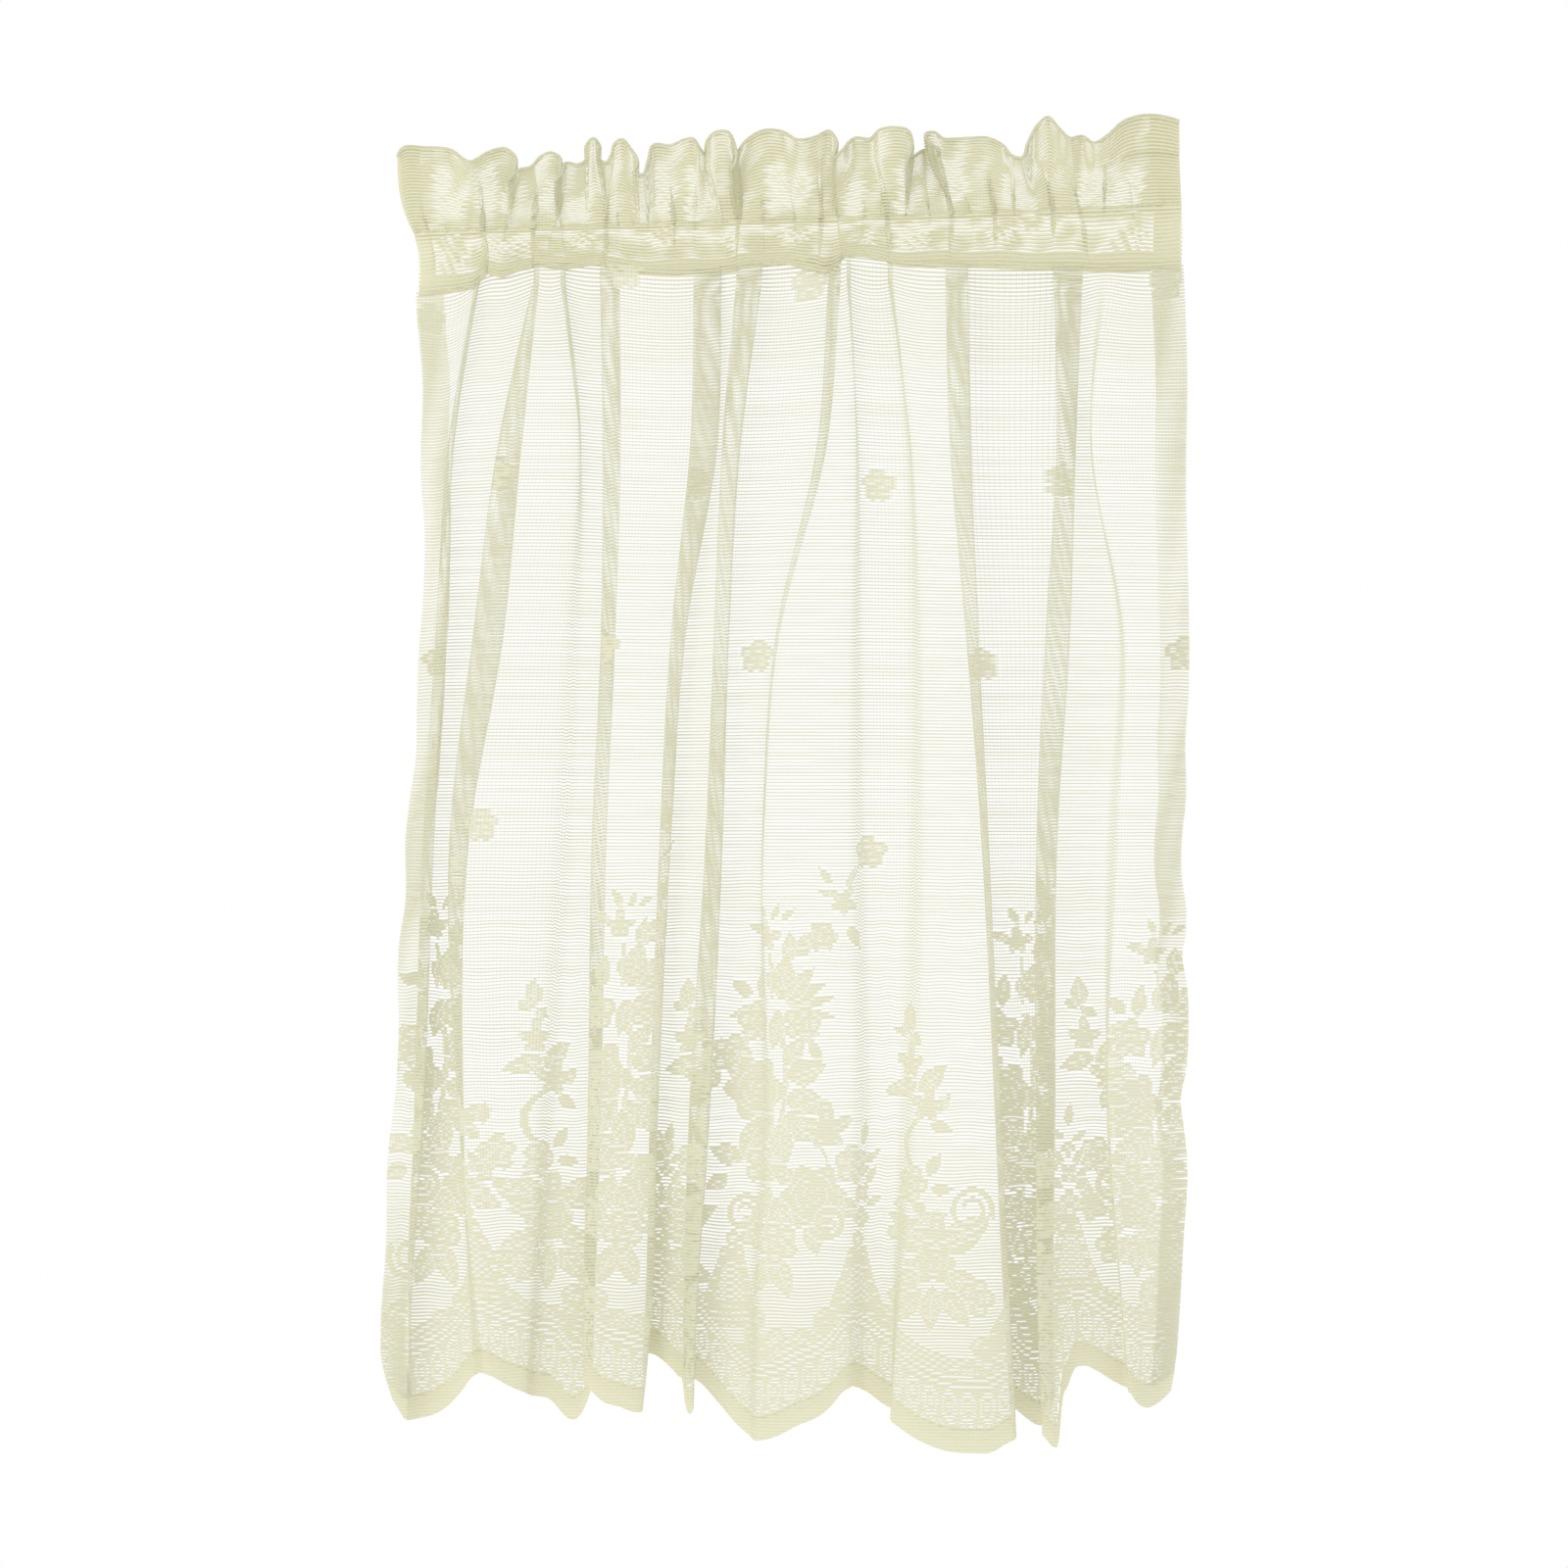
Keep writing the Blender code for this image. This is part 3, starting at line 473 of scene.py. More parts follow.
# Where each motif stands: a row for each, with its flat place and, above the base line, its rise.
Place = namedtuple("Place", "motif flat rise")
PLACES = tuple(Place(*row) for row in (
    (SIDE_BOUQUET, 46, 6), (BOUQUET, 193, 7), (BOUQUET, 340, 0), (BOUQUET, 530, -4), (BOUQUET, 652, -10),
    (SPRIG, 110, 0), (SPRIG, 250, 0), (SPRIG, 420, -14), (SPRIG, 600, 2),
    (WINGS, 126, 110), (WINGS, 268, 92), (WINGS, 448, 88), (WINGS, 640, 118), (WINGS, 560, 96),
    (BERRIES, 92, 136), (BERRIES, 242, 124), (BERRIES, 394, 124), (BERRIES, 508, 124), (BERRIES, 590, 136)))

# The curls: where the middle of each is, the angle at which it starts, and how far it reaches.
Curl = namedtuple("Curl", "flat rise start reach")
CURLS = tuple(Curl(*row) for row in (
    (36, 140, 200, 11), (16, 98, 150, 13), (12, 62, 30, 10), (170, 122, -20, 11), (213, 122, 200, 11),
    (318, 122, -20, 11), (372, 118, 200, 10), (470, 126, -20, 13), (552, 122, 200, 11),
    (622, 138, -20, 12), (662, 150, 200, 11)))

# The netted bells: where each is, the rise of its top and of the foot that petals spread from, and
# how wide it is beside the usual. Then the half width of the usual one by its depth.
Fan = namedtuple("Fan", "flat top foot spread")
FANS = tuple(Fan(*row) for row in (
    (81, 124, 38, 1), (162, 120, 40, 0.9), (238, 114, 36, 0.95), (312, 108, 28, 0.9),
    (392, 108, 28, 1), (510, 110, 24, 1.1), (590, 124, 38, 0.95), (664, 118, 32, 0.9)))
FAN_SPREAD = ((0, 2.5), (10, 5.5), (24, 10), (40, 15.5), (57, 24), (68, 31))

# The small flowers strewn over the net: how far one reaches, and the flat place and fall of each.
SMALL_FLOWER = 10.0
SMALL_FLOWERS = ((311, 10), (406, 125), (311, 222), (92, 319), (78, 118), (170, 217), (4, 14),
                 (18, 223), (226, 313), (518, 226), (662, 221), (399, 334), (540, 120), (656, 6),
                 (236, 122), (182, 0))

# The border along the scallops, and how the chart is drawn.
RING_PITCH = 9.7           # from one ring of the border to the next
RING_CENTRE = 26.0         # how far above the edge the rings stand
TICKS = 16.0               # how far above it the row of slits below them is
OPEN_LINES = (38.0, 42.5)  # how far above it the two open lines are
BORDER_TOP = 45.0          # how far above it the border ends
GROUND_TOP = 54.0          # how far above it the dashed ground ends
CUT = 0.5                  # sign on the chart for a slit
PETAL_EYE = 0.3            # how far the wider eyes of each kind are shut
CHAIN_EYE = 0.2
BEAD_EYE = 0.1
RING_EYE = 0.05
PETAL_TURN = 0.42          # angle from one petal of a bell's foot to the next, in radians
DRAW_MARGIN = 4.0          # how far the window that a mark is drawn in reaches beyond it
SCALE_COLUMN = 3.0         # flat width from one column of the scale's grid to the next
SCALE_ROW = 12.0           # fall from one of its rows to the next
LEAST_SCALE = 0.6          # least scale that a mark is drawn by, where the cloth turns edge on


def leaf(a, b, reach, size):
    """A leaf along a, as wide as its size: its half width is a sine arch, fullest before the middle,
    with slits along its midrib and, where it is broad, in slanting veins."""
    part = np.clip(a / reach, 0, 1)
    half = size / 2 * np.sin(np.pi * part**0.8)
    inside = (a > 0) & (a < reach) & (np.abs(b) < half)
    rib = (np.abs(b) < 0.6) & (part > 0.22) & (part < 0.75) & (size > 8)
    vein = ((a - 1.3 * np.abs(b)) % 4.6 < 1.2) & (np.abs(b) > 1.5) & (np.abs(b) < half - 1.3) & (size > 9)
    return inside * np.where(rib | vein, CUT, 1)


def bloom(a, b, reach, size):
    """A flower: round petals about its middle, as many as its size, each with a thin heart, and a
    broken ring of slits round its eye."""
    radius, angle = np.hypot(a, b), np.arctan2(b, a)
    turn = 2 * np.pi / size
    folded = (angle + turn / 2) % turn - turn / 2
    petal = np.hypot(radius * np.cos(folded) - 0.6 * reach, radius * np.sin(folded))
    inside = (petal < 0.42 * reach) | (radius < 0.42 * reach)
    heart = (petal < 0.2 * reach) & (radius > 0.5 * reach) & (reach > 8)
    eye = (np.abs(radius - 0.27 * reach) < 0.75) & (np.cos(3 * angle) > -0.6)
    return inside * np.where(heart | eye, CUT, 1)


def rose(a, b, reach, size):
    """A full flower: a disc whose edge waves twice as often as its size, cut by a spiral's arcs."""
    radius, angle = np.hypot(a, b), np.arctan2(b, a)
    edge = reach * (0.88 + 0.12 * np.cos(size * 2 * angle))
    wind = (radius / 3.6 - angle / (2 * np.pi)) % 1.0
    slit = (wind < 0.3) & (radius > 1.5) & (radius < 0.8 * reach) & (np.sin(3 * angle + radius) > -0.3)
    return (radius < edge) * np.where(slit, CUT, 1)


def maple(a, b, reach, size):
    """A lobed leaf: a star of as many pointed lobes as its size, longest where it points."""
    radius, angle = np.hypot(a, b), np.arctan2(b, a)
    lobes = np.abs(np.cos(size * angle / 2))**1.6
    inside = radius < reach * (0.42 + (0.38 + 0.2 * np.cos(angle)) * lobes)
    vein = (lobes > 0.93) & (radius > 0.25 * reach) & (radius % 3.2 < 1.7)
    return inside * np.where(vein, CUT, 1)


def stem(a, b, reach, size):
    """A stem along a, as wide as its size: a strip that sways as a sine once along its length."""
    sway = 0.03 * reach * np.sin(2 * np.pi * a / reach)
    return 1.0 * ((a > 0) & (a < reach) & (np.abs(b - sway) < size / 2))


def arc(a, b, reach, size):
    """A bowed stem: the part of a ring within an angle, its size, either side of where it points."""
    radius, angle = np.hypot(a, b), np.arctan2(b, a)
    return 1.0 * ((np.abs(radius - reach) < 1.5) & (np.abs(angle) < size))


def scroll(a, b, reach, size):
    """A curl: the band of a spiral that winds in from its reach over size turns and a little more."""
    radius, angle = np.hypot(a, b), np.arctan2(b, a) % (2 * np.pi)
    band = np.zeros(np.shape(radius), bool)
    for turn in range(2):
        wound = angle / (2 * np.pi) + turn
        line = reach * (1 - 0.62 * wound / (size + 0.5))
        band |= (np.abs(radius - line) < 1.9 - 0.5 * wound) & (wound < size + 0.5)
    return 1.0 * band


KINDS = {"leaf": leaf, "bloom": bloom, "rose": rose, "maple": maple, "stem": stem, "arc": arc,
         "scroll": scroll}


def measured_scale():
    """How many millimetres of the hanging cloth one millimetre of the chart covers, on a coarse grid
    of places."""
    flats = np.arange(0, FLAT_WIDTH, SCALE_COLUMN)
    falls = np.arange(0, FALL + BELOW_BASE, SCALE_ROW)[:, None]
    steps = hang(flats + SCALE_COLUMN, falls) - hang(flats - SCALE_COLUMN, falls)
    return np.maximum(np.hypot(steps[..., 0], steps[..., 1]) / (2 * SCALE_COLUMN), LEAST_SCALE)


SCALES = measured_scale()


def cloth_scale(flat, fall):
    """The scale at the grid's place that is nearest."""
    rows, columns = SCALES.shape
    row, column = round(fall / SCALE_ROW), round(flat / SCALE_COLUMN)
    return SCALES[min(max(row, 0), rows - 1), min(max(column, 0), columns - 1)]


def widened(inside):
    """A shape on the chart made one point and one row larger all round."""
    wide = inside.copy()
    wide[:, 1:] |= inside[:, :-1]
    wide[:, :-1] |= inside[:, 1:]
    wide[1:] |= inside[:-1]
    wide[:-1] |= inside[1:]
    return wide


def draw(closed, flats, falls, mark, flat, rise):
    """Draws one mark on the chart in a window round it, turned to its own axes and true to shape
    on the cloth. Slits part it from the marks that it covers."""
    centre_fall = FALL - rise - mark.rise
    centre_flat = flat + mark.right / cloth_scale(flat, centre_fall)
    scale = cloth_scale(centre_flat, centre_fall)
    across = np.flatnonzero(np.abs(flats - centre_flat) * scale < mark.reach + DRAW_MARGIN)
    along = np.flatnonzero(np.abs(falls - centre_fall) < mark.reach + DRAW_MARGIN)
    if not len(across) or not len(along):
        return
    window = np.ix_(along, across)
    x, y = np.meshgrid((flats[across] - centre_flat) * scale, centre_fall - falls[along])
    turn = radians(mark.turn)
    a, b = x * np.cos(turn) + y * np.sin(turn), y * np.cos(turn) - x * np.sin(turn)
    shape = KINDS[mark.kind](a, b, mark.reach, mark.size)
    here, inside = closed[window], shape > 0
    here[widened(inside) & ~inside & (here == 1)] = CUT
    closed[window] = np.where(inside, shape, here)


def draw_petals(closed, flats, falls, fan):
    """Petals that spread sideways from the foot of a fan, solid, with dashes along their sides and
    a ladder of slits up the middle of each."""
    x, rise = np.meshgrid(np.abs(flats - fan.flat), FALL - falls)
    radius, angle = np.hypot(x, rise - fan.foot), np.arctan2(rise - fan.foot, x)
    petal = angle / PETAL_TURN % 1 - 0.5
    inside = (angle > 0) & (radius > 12) & (radius < 47 - 40 * petal**2)
    side = (np.abs(petal) > 0.34) & (radius % 5.1 < 3.2)
    ladder = (np.abs(petal) < 0.16) & (radius % 3.8 < 2.1)
    closed[inside] = np.where(side | ladder, PETAL_EYE, 1)[inside]


def draw_fan(closed, flats, falls, fan):
    """A netted bell that stands on a point of the hem: two chains of beads with open eyes flare from
    a bead at its top, with a brick lattice, a dotted lozenge and a thin arch between them."""
    x, below = np.meshgrid(np.abs(flats - fan.flat) / fan.spread, fan.top + falls - FALL)
    spread = np.interp(below, *zip(*FAN_SPREAD))
    course = np.round(below / PITCH)
    inside = (x < spread) & (below > 6) & (below < FAN_SPREAD[-1][0])
    brick = (below > 13) & (below < 37) & ((x + 2.4 * (course % 2)) % 4.8 < 2.5) & (x < spread - 3)
    lozenge = (np.abs(below - 45) + 0.8 * x < 9) & (course % 2 > 0) & ((x + course) % 4.0 < 2.1)
    arch = (np.abs(below - 57) < 4.5) & (x < 10)
    ladder = (below > 40) & (np.abs(x - 0.62 * spread) < 2.2) & (course % 2 > 0)
    closed[inside] = np.where(brick | lozenge | arch | ladder, CUT, 1)[inside]
    chain = (np.abs(x - spread) < 2.8) & (below > 4) & (below < FAN_SPREAD[-1][0])
    eye = (np.abs(x - spread) < 1.3) & (below % 7.6 < 2.6)
    closed[chain] = np.where(eye, CHAIN_EYE, 1)[chain]
    radius = np.hypot(x, below)
    bead = radius < 4.6
    closed[bead] = np.where(radius < 2, BEAD_EYE, 1)[bead]


def draw_border(closed, flats, falls):
    """The border along the scallops: the solid edge, a row of slits, rings drawn by slits on a
    solid ground, and two long open lines above them."""
    above = hem_fall(flats)[None, :] - falls[:, None]
    along = (flats[None, :] % RING_PITCH) - RING_PITCH / 2
    ring = np.hypot(along / 3.4, (above - RING_CENTRE) / 7.4)
    oval = np.abs(ring - 1) < 0.24
    heart = ring < 0.42
    lines = (np.abs(above - OPEN_LINES[0]) < 1.1) | (np.abs(above - OPEN_LINES[1]) < 1.1)
    tick = (np.abs(above - TICKS) < 1.0) & (along % (RING_PITCH / 2) < 2.6)
    here = above < BORDER_TOP
    closed[here] = np.where(oval | heart | lines | tick, RING_EYE, 1)[here]
    closed[above < EDGE_BAND] = 1


def draw_ground(closed, flats, falls):
    """The ground between the fans' feet: rows broken into dashes in a brick bond."""
    above = hem_fall(flats)[None, :] - falls[:, None]
    course = np.round(falls / PITCH)[:, None]
    dash = (flats[None, :] + 3.4 * (course % 2) + 2 * np.sin(above / 4)) % 6.8 < 2.9
    here = (above < GROUND_TOP) & (closed == 0)
    closed[here] = np.where(dash, CUT, 1)[here]


def chart(flats, falls):
    """How far each gap of the lace is knitted shut, from 0 for open to 1, at each fall and flat.

    It is drawn with a sign for a slit, which here becomes the closing that leaves a slit's width,
    and less for a wider eye. The gaps right beside a motif are drawn a little wider than the net's.
    """
    closed = np.zeros((len(falls), len(flats)))
    for place in PLACES:
        for mark in place.motif:
            draw(closed, flats, falls, mark, place.flat, place.rise)
    for curl in CURLS:
        draw(closed, flats, falls, Mark("scroll", 0, 0, curl.start, curl.reach, 1.0), curl.flat, curl.rise)
    for fan in FANS:
        draw_petals(closed, flats, falls, fan)
    for fan in FANS:
        draw_fan(closed, flats, falls, fan)
    for flat, fall in SMALL_FLOWERS:
        draw(closed, flats, falls, Mark("bloom", 0, 0, 90, SMALL_FLOWER, 5), flat, FALL - fall)
    draw_ground(closed, flats, falls)
    draw_border(closed, flats, falls)
    beside = widened(closed == 1) & (closed == 0)
    closed[beside] = -MOTIF_RIM
    slit_shut = 1 - SLIT / PITCH / np.interp(falls, *zip(*NET_OPEN))
    return np.where(closed == CUT, slit_shut[:, None], closed)


def new_piece(name, points, faces, flat_map, material, openness=None):
    """A shown object from world points, four-cornered faces and each point's place on the cloth."""
    used, faces = np.unique(faces, return_inverse=True)
    faces = faces.reshape(-1, 4)
    mesh = bpy.data.meshes.new(name)
    mesh.vertices.add(len(used))
    mesh.vertices.foreach_set("co", points[used].astype(np.float32).ravel())
    mesh.loops.add(faces.size)
    mesh.loops.foreach_set("vertex_index", faces.astype(np.int32).ravel())
    mesh.polygons.add(len(faces))
    mesh.polygons.foreach_set("loop_start", np.arange(0, faces.size, 4, dtype=np.int32))
    mesh.update(calc_edges=True)
    mesh.uv_layers.new(name="cloth")
    at_corners = flat_map[used][faces.ravel()]
    mesh.uv_layers["cloth"].data.foreach_set("uv", at_corners.astype(np.float32).ravel())
    if openness is not None:
        open_share = mesh.attributes.new("open", "FLOAT", "POINT")
        open_share.data.foreach_set("value", openness[used].astype(np.float32))
    mesh.shade_smooth()
    mesh.materials.append(material)
    piece = bpy.data.objects.new(name, mesh)
    bpy.context.scene.collection.objects.link(piece)
    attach(piece, "root")
    return piece


def strip_faces(rows, columns, keep=None):
    """Faces of separate strips: strip r has its upper points in row 2r of the grid, its lower in 2r+1."""
    upper = (2 * np.arange(rows)[:, None] * columns + np.arange(columns - 1)).astype(np.int64)
    faces = np.stack([upper, upper + columns, upper + columns + 1, upper + 1], axis=-1)
    return faces[keep] if keep is not None else faces.reshape(-1, 4)


def grid_faces(rows, columns):
    """Faces of one continuous surface over a grid of points."""
    corner = (np.arange(rows - 1)[:, None] * columns + np.arange(columns - 1)).astype(np.int64)
    return np.stack([corner, corner + columns, corner + columns + 1, corner + 1], axis=-1).reshape(-1, 4)


def crowding(flats, gaps):
    """What share of a gap is left open where the cloth slants away: its yarns have body and crowd
    together for the eye, as one less the sine's rise, and all but close at the turn of a fold."""
    along = np.diff(hang(flats, gaps), axis=1, append=np.nan)
    along[:, -1] = along[:, -2]
    facing = np.abs(along[..., 0]) / np.hypot(along[..., 0], along[..., 1])
    return 1 - CROWDED * (1 - facing)


def knitted_rows(name, flats, gaps, closed, material, lift=0.0, hem_margin=None):
    """Rows of lace as strips along the cloth. Each fills its pitch but for the open share of the gap
    above it and below it, which a shut gap gives up, so that shut rows touch and open ones part."""
    gaps = gaps if gaps.ndim > 1 else gaps[:, None]
    flats, gaps = np.broadcast_arrays(flats, gaps)
    share = np.interp(gaps, *zip(*NET_OPEN))
    open_share = share / 2 * PITCH * (1 - closed) * row_evenness(gaps, flats) * crowding(flats, gaps)
    upper = gaps[:-1] + open_share[:-1]
    lower = gaps[1:] - open_share[1:]
    falls = np.stack([upper, lower], axis=1)
    across = np.stack([flats[:-1], flats[1:]], axis=1)
    points = lifted(across, falls, np.full(falls.shape, lift)) if lift else hang(across, falls)
    middle = (upper + lower) / 2
    keep = None
    if hem_margin is not None:
        above = hem_fall(flats[1:]) - middle > hem_margin
        keep = above[:, :-1] & above[:, 1:]
    faces = strip_faces(len(upper), flats.shape[1], keep)
    flat_map = np.stack([across, falls], axis=-1).reshape(-1, 2) * MM
    openness = np.repeat(1 - (closed[:-1] + closed[1:]) / 2, 2, axis=0).ravel()
    return new_piece(name, to_world(points).reshape(-1, 3), faces, flat_map, material, openness)


def row_evenness(gaps, flats):
    """How wide each gap is beside the usual: the knit is a little uneven from row to row, and along
    each row it swells and narrows as two slow sines out of step."""
    rng = np.random.default_rng(11)
    rows = 1 + ROW_UNEVEN * rng.standard_normal(len(gaps))
    phase = rng.uniform(0, 2 * np.pi, len(gaps))[:, None]
    wave = GAP_WAVES[0] * np.sin(flats / 17 + phase) + GAP_WAVES[1] * np.sin(flats / 6.1 - phase)
    return np.clip(rows[:, None] + wave, 0.55, 1.3)


def linear(value):
    """An sRGB hex colour as linear red, green and blue."""
    parts = [int(value[k:k + 2], 16) / 255 for k in (1, 3, 5)]
    return [c / 12.92 if c <= 0.04045 else ((c + 0.055) / 1.055)**2.4 for c in parts] + [1.0]


def add_node(tree, kind, links=(), **settings):
    """A node with its settings. Links are pairs of an input and the socket or the value for it."""
    node = tree.nodes.new(kind)
    for name, value in settings.items():
        setattr(node, name, value)
    for name, source in links:
        if isinstance(source, bpy.types.NodeSocket):
            tree.links.new(source, node.inputs[name])
        else:
            node.inputs[name].default_value = source
    return node


def lace_yarn(name, pale, deep, shade, lone_row_painted_shade):
    """Matt cotton and polyester knit: no gloss, and a warm cream that lets light through. It is a
    little uneven in colour from dyeing and wear, and painted darker between its rows and its
    stitches, a painted shade where the yarns dive under each other. The same places stand back a
    little. A row that stands alone between open gaps is painted a darker tone of its own, a painted
    shade for the light that comes round it."""
    material = bpy.data.materials.new(name)
    material.use_nodes = True
    tree = material.node_tree
    tree.nodes.clear()
    place = add_node(tree, "ShaderNodeUVMap", uv_map="cloth").outputs["UV"]
    cloud = add_node(tree, "ShaderNodeTexNoise", [("Vector", place), ("Scale", CLOUDS), ("Detail", 3.0)])
    waves = []
    for direction, period, phase, uneven in (
            ("Y", PITCH, 2 * np.pi * TUCKED_IN / PITCH, 0.0), ("X", STITCH_WIDTH, 0.0, 1.2)):
        wave = add_node(tree, "ShaderNodeTexWave", [
            ("Vector", place), ("Scale", 2 * np.pi / 20 / (period * MM)), ("Phase Offset", phase),
            ("Distortion", uneven), ("Detail", 1.0), ("Detail Scale", 0.4)], bands_direction=direction)
        waves.append(wave.outputs["Fac"])
    rows, ribs = waves
    # Painted shade: the tone darkens between the rows and between the stitches, and the bump sets the same
    # places back.
    gap = add_node(tree, "ShaderNodeMath", [(0, 1.0), (1, rows)], operation="SUBTRACT").outputs["Value"]
    rib = add_node(tree, "ShaderNodeMath", [(0, ribs), (1, 0.55), (2, 0.45)], operation="MULTIPLY_ADD")
    recess_and_painted_shade = add_node(tree, "ShaderNodeMath", [(0, gap), (1, rib.outputs["Value"])],
                    operation="MULTIPLY").outputs["Value"]
    # Painted shade: the more open a row's gaps, the more it takes the darker lone-row tone.
    lone_row_shade_factor = add_node(tree, "ShaderNodeAttribute", attribute_name="open").outputs["Fac"]
    tone = linear(pale)
    for factor, colour in ((cloud.outputs["Fac"], deep), (recess_and_painted_shade, shade), (lone_row_shade_factor, lone_row_painted_shade)):
        mix = add_node(tree, "ShaderNodeMix", [("Factor", factor), (6, tone), (7, linear(colour))],
                       data_type="RGBA")
        tone = mix.outputs[2]
    height = add_node(tree, "ShaderNodeMath", [(0, 1.0), (1, recess_and_painted_shade)], operation="SUBTRACT").outputs["Value"]
    bump = add_node(tree, "ShaderNodeBump", [("Height", height), ("Strength", 0.5), ("Distance", RELIEF)])
    face = add_node(tree, "ShaderNodeBsdfPrincipled", [
        ("Base Color", tone), ("Normal", bump.outputs["Normal"]), ("Roughness", 0.9),
        ("Specular IOR Level", 0.25)]).outputs["BSDF"]
    glow = add_node(tree, "ShaderNodeBsdfTranslucent", [("Color", tone)]).outputs["BSDF"]
    both = add_node(tree, "ShaderNodeMixShader", [(0, THROUGH), (1, face), (2, glow)])
    add_node(tree, "ShaderNodeOutputMaterial", [("Surface", both.outputs["Shader"])])
    return material


# The panel's own yarn, the heading's, and that of the dense band, the roll and the sewn lines: each with a
# cream, a deeper uneven tone, a painted shade between the rows and a darker painted shade for lone open
# rows.
yarn = lace_yarn("knitted_ivory_yarn", "#ECEBD8", "#E7E6CF", "#DAD8BC", "#DEDDC6")
heading_yarn = lace_yarn("doubled_ivory_yarn", "#EAE8D0", "#E3E1C5", "#D3D1AE", "#DCDBC4")
band_yarn = lace_yarn("dense_ivory_edge", "#EAE8D0", "#E3E1C5", "#DAD8B8", "#D9D7BA")


def make_net():
    """The plain net from inside the pocket to where the pattern begins."""
    flats = np.linspace(0, FLAT_WIDTH, round(FLAT_WIDTH / PLAIN_STEP))
    gaps = np.arange(-TUCKED_IN, PATTERN_FROM + PITCH / 2, PITCH)
    net = knitted_rows("plain_net", flats, gaps, chart(flats, gaps), yarn)
    return net, gaps[-1]


def make_patterned(from_fall):
    """The patterned lace down to the scalloped edge."""
    flats = np.linspace(0, FLAT_WIDTH, round(FLAT_WIDTH / PATTERN_STEP))
    gaps = np.arange(from_fall, hem_fall(flats).max() + PITCH, PITCH)
    lace = knitted_rows("patterned_lace", flats, gaps, chart(flats, gaps), yarn,
                        hem_margin=EDGE_BAND - EDGE_LAP)
    return lace


def make_side_hem(name, side, widths, thin):
    """The cloth turned in to the back along a side: a second layer of rows out of step with the
    first, by a share of the pitch that drifts slowly as the cloth is pulled. Its width across the
    cloth as it hangs comes from the widths at the top and at the hem. It is turned in twice, so its
    gaps are narrower than the net's, but low down they are wider by the share that is named thin."""
    gaps = np.arange(HEM_FROM, FALL + BELOW_BASE, PITCH)
    gaps = gaps + SIDE_DRIFT * np.sin(gaps / 41)
    near = np.linspace(0, HEM_SEARCH, HEM_SEARCH + 1)
    near = np.abs(near - (0 if side < HEM_SEARCH else FLAT_WIDTH))
    steps = np.diff(hang(near, gaps[:, None]), axis=1)
    lengths = np.cumsum(np.hypot(steps[..., 0], steps[..., 1]), axis=1)
    reach = np.concatenate([np.zeros((len(gaps), 1)), lengths], axis=1)
    width = np.interp(gaps, (0, FALL), widths)
    inner = np.array([np.interp(wide, along, near) for wide, along in zip(width, reach)])
    flats = np.sort(side + (inner - side)[:, None] * np.linspace(0, 1, HEM_COLUMNS), axis=1)
    low = np.clip((gaps[:, None] - HEM_THINS[0]) / (HEM_THINS[1] - HEM_THINS[0]), 0, 1)
    closed = HEM_DENSER * (1 - low) - thin * low + 0 * flats
    gaps = gaps[:, None] + SIDE_SHIFT + SIDE_RIPPLE * np.sin(flats / 4.3 + gaps[:, None] / 27)
    hem = knitted_rows(name, flats, gaps, closed, yarn, lift=-HEM_BEHIND, hem_margin=EDGE_BAND - EDGE_LAP)
    return hem


def make_pillars():
    """The fine upright threads that join the net's rows, each a narrow strip behind them."""
    flats = np.arange(PILLAR_PITCH / 2, FLAT_WIDTH, PILLAR_PITCH)
    share = np.linspace(0, 1, PILLAR_POINTS)[:, None]
    falls = share * (hem_fall(flats) - EDGE_BAND / 2)
    falls = np.repeat(falls[..., None], 2, axis=-1)
    across = flats[None, :, None] + PILLAR_WIDTH / 2 * np.array([-1, 1]) + 0 * falls
    points = lifted(across, falls, np.full(falls.shape, -SKIN)).transpose(1, 0, 2, 3)
    starts = np.arange(len(flats))[:, None] * 2 * PILLAR_POINTS
    first = (starts + 2 * np.arange(PILLAR_POINTS - 1)).ravel()
    faces = np.stack([first, first + 2, first + 3, first + 1], axis=-1)
    flat_map = np.stack([across, falls], axis=-1).transpose(1, 0, 2, 3).reshape(-1, 2) * MM
    pillars = new_piece("upright_threads", to_world(points).reshape(-1, 3), faces, flat_map, yarn,
                        np.ones(len(flat_map)))
    return pillars


def make_edge():
    """The solid band along the scallops, a surface from its upper line down to the very edge."""
    flats = np.linspace(0, FLAT_WIDTH, round(FLAT_WIDTH / PATTERN_STEP))
    above = np.linspace(EDGE_BAND, 0, EDGE_ROWS)
    falls = hem_fall(flats)[None, :] - above[:, None]
    across = np.broadcast_to(flats, falls.shape)
    points = lifted(across, falls, np.full(falls.shape, SKIN))
    flat_map = np.stack([across, falls], axis=-1).reshape(-1, 2) * MM
    edge = new_piece("scalloped_edge", to_world(points).reshape(-1, 3), grid_faces(*falls.shape),
                     flat_map, band_yarn)
    return edge


